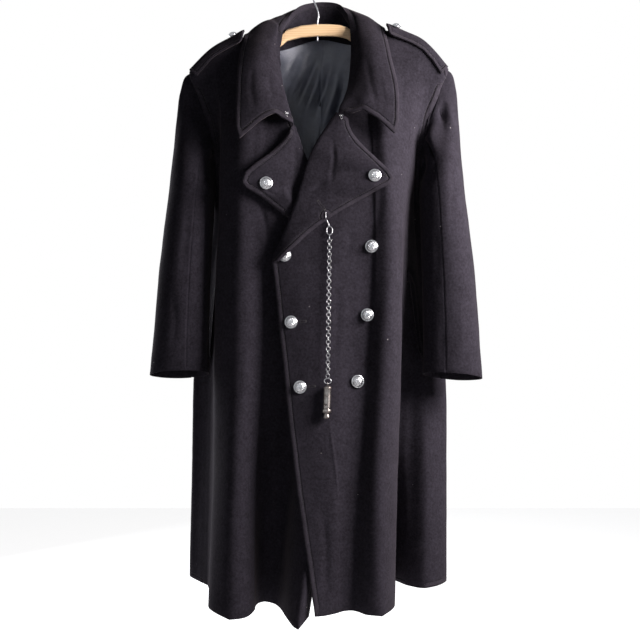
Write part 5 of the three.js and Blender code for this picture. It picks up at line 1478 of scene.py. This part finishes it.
# ---- studio
@dataclass
class Studio:
    """A plain pale floor, soft light and the camera."""

    floor_height: float = -1.75
    eye: tuple[float, float, float] = (0.004, -2.080, -0.700)
    lens: float = 56.25
    key: float = 56.0
    fill: float = 3.0
    back: float = 60.0
    sky: float = 0.022
    mirrored_sky: float = 0.6

    def build(self, palette: Palette) -> None:
        """Sets up the floor, the lights and the camera."""
        bpy.ops.object.select_all(action="DESELECT")
        bpy.ops.mesh.primitive_plane_add(size=7.0, location=(0, 0, self.floor_height))
        floor = bpy.context.object
        floor.name = "studio_floor"
        floor.data.materials.append(palette.paint)
        floor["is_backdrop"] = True
        self._light("key_light", (1.15, -0.50, -0.12), (0.0, 0.0, -0.55), 0.7, self.key, (1.0, 0.958, 0.955))
        self._light("fill_light", (-0.9, -2.6, 0.3), (0.0, 0.0, -0.4), 1.2, self.fill, (0.86, 0.92, 1.0))
        self._light("back_light", (-1.9, 1.7, -0.5), (0.0, 0.0, -0.65), 1.4, self.back, (0.92, 0.95, 1.0))
        self._sky()
        camera = bpy.data.cameras.new("camera")
        camera.lens, camera.sensor_width, camera.sensor_fit = self.lens, 36.0, "HORIZONTAL"
        camera.clip_start, camera.clip_end = 0.05, 50.0
        view = link("camera", camera)
        view.location = self.eye
        view.rotation_euler = (math.pi / 2, 0, 0)
        bpy.context.scene.camera = view
        bpy.context.scene.view_settings.view_transform = "Standard"
        bpy.context.scene.view_settings.look = "None"
        LOG.info("studio: floor, three lights, sky and camera")

    def _light(self, name: str, at: Sequence[float], towards: Sequence[float], size: float, power: float,
               colour: Sequence[float]) -> None:
        """Adds one soft square light."""
        lamp = bpy.data.lights.new(name, "AREA")
        lamp.energy, lamp.size, lamp.color = power, size, colour
        holder = link(name, lamp)
        holder.location = at
        holder.visible_camera = False
        holder.rotation_euler = (Vector(towards) - Vector(at)).to_track_quat("-Z", "Y").to_euler()

    def _sky(self) -> None:
        """Lights the room from all round, a little cool, with a white background."""
        world = bpy.data.worlds.new("studio")
        bpy.context.scene.world = world
        world.use_nodes = True
        tree = Tree(world.node_tree)
        path = tree.add("ShaderNodeLightPath")
        seen = next(n for n in world.node_tree.nodes if n.type == "BACKGROUND")
        tree.plain(seen, Color=(0.86, 0.91, 1.0, 1.0), Strength=self.sky)
        for ray, colour, strength in (("Is Glossy Ray", (0.95, 0.97, 1.0), self.mirrored_sky),
                                      ("Is Camera Ray", (1.0, 1.0, 1.0), 1.0)):
            shown = tree.add("ShaderNodeBackground")
            tree.plain(shown, Color=rgba(colour), Strength=strength)
            mix = tree.add("ShaderNodeMixShader")
            for socket, value in zip(mix.inputs, (path.outputs[ray], seen.outputs[0], shown.outputs[0])):
                tree.put(socket, value)
            seen = mix
        end = next(n for n in world.node_tree.nodes if n.type == "OUTPUT_WORLD")
        tree.put(end.inputs["Surface"], seen.outputs[0])


def keep_sizes() -> None:
    """Works out the solids' box and the dressed coat's box."""
    boxes = {"cad": SOLID_BOX, "visual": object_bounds()}
    {name: [list(corner) for corner in box] for name, box in boxes.items()}


def main() -> None:
    """Builds the coat's looks piece by piece."""
    logging.basicConfig(level=logging.INFO, format="%(message)s")
    noise.seed_set(NOISE_SEED)
    palette = Palette()
    Studio().build(palette)
    garment = Garment(palette)
    garment.build()
    StitchRows().build(garment, palette)
    for hole in BUTTONHOLES:
        hole.build(garment, palette)
    sew_on_buttons(palette)
    Hanger().build(palette)
    CollarFastening().build(garment, palette)
    LapelHook().build(palette)
    WhistleChain().build(palette)
    Whistle().build(palette)
    keep_sizes()


if __name__ == "__main__":
    main()
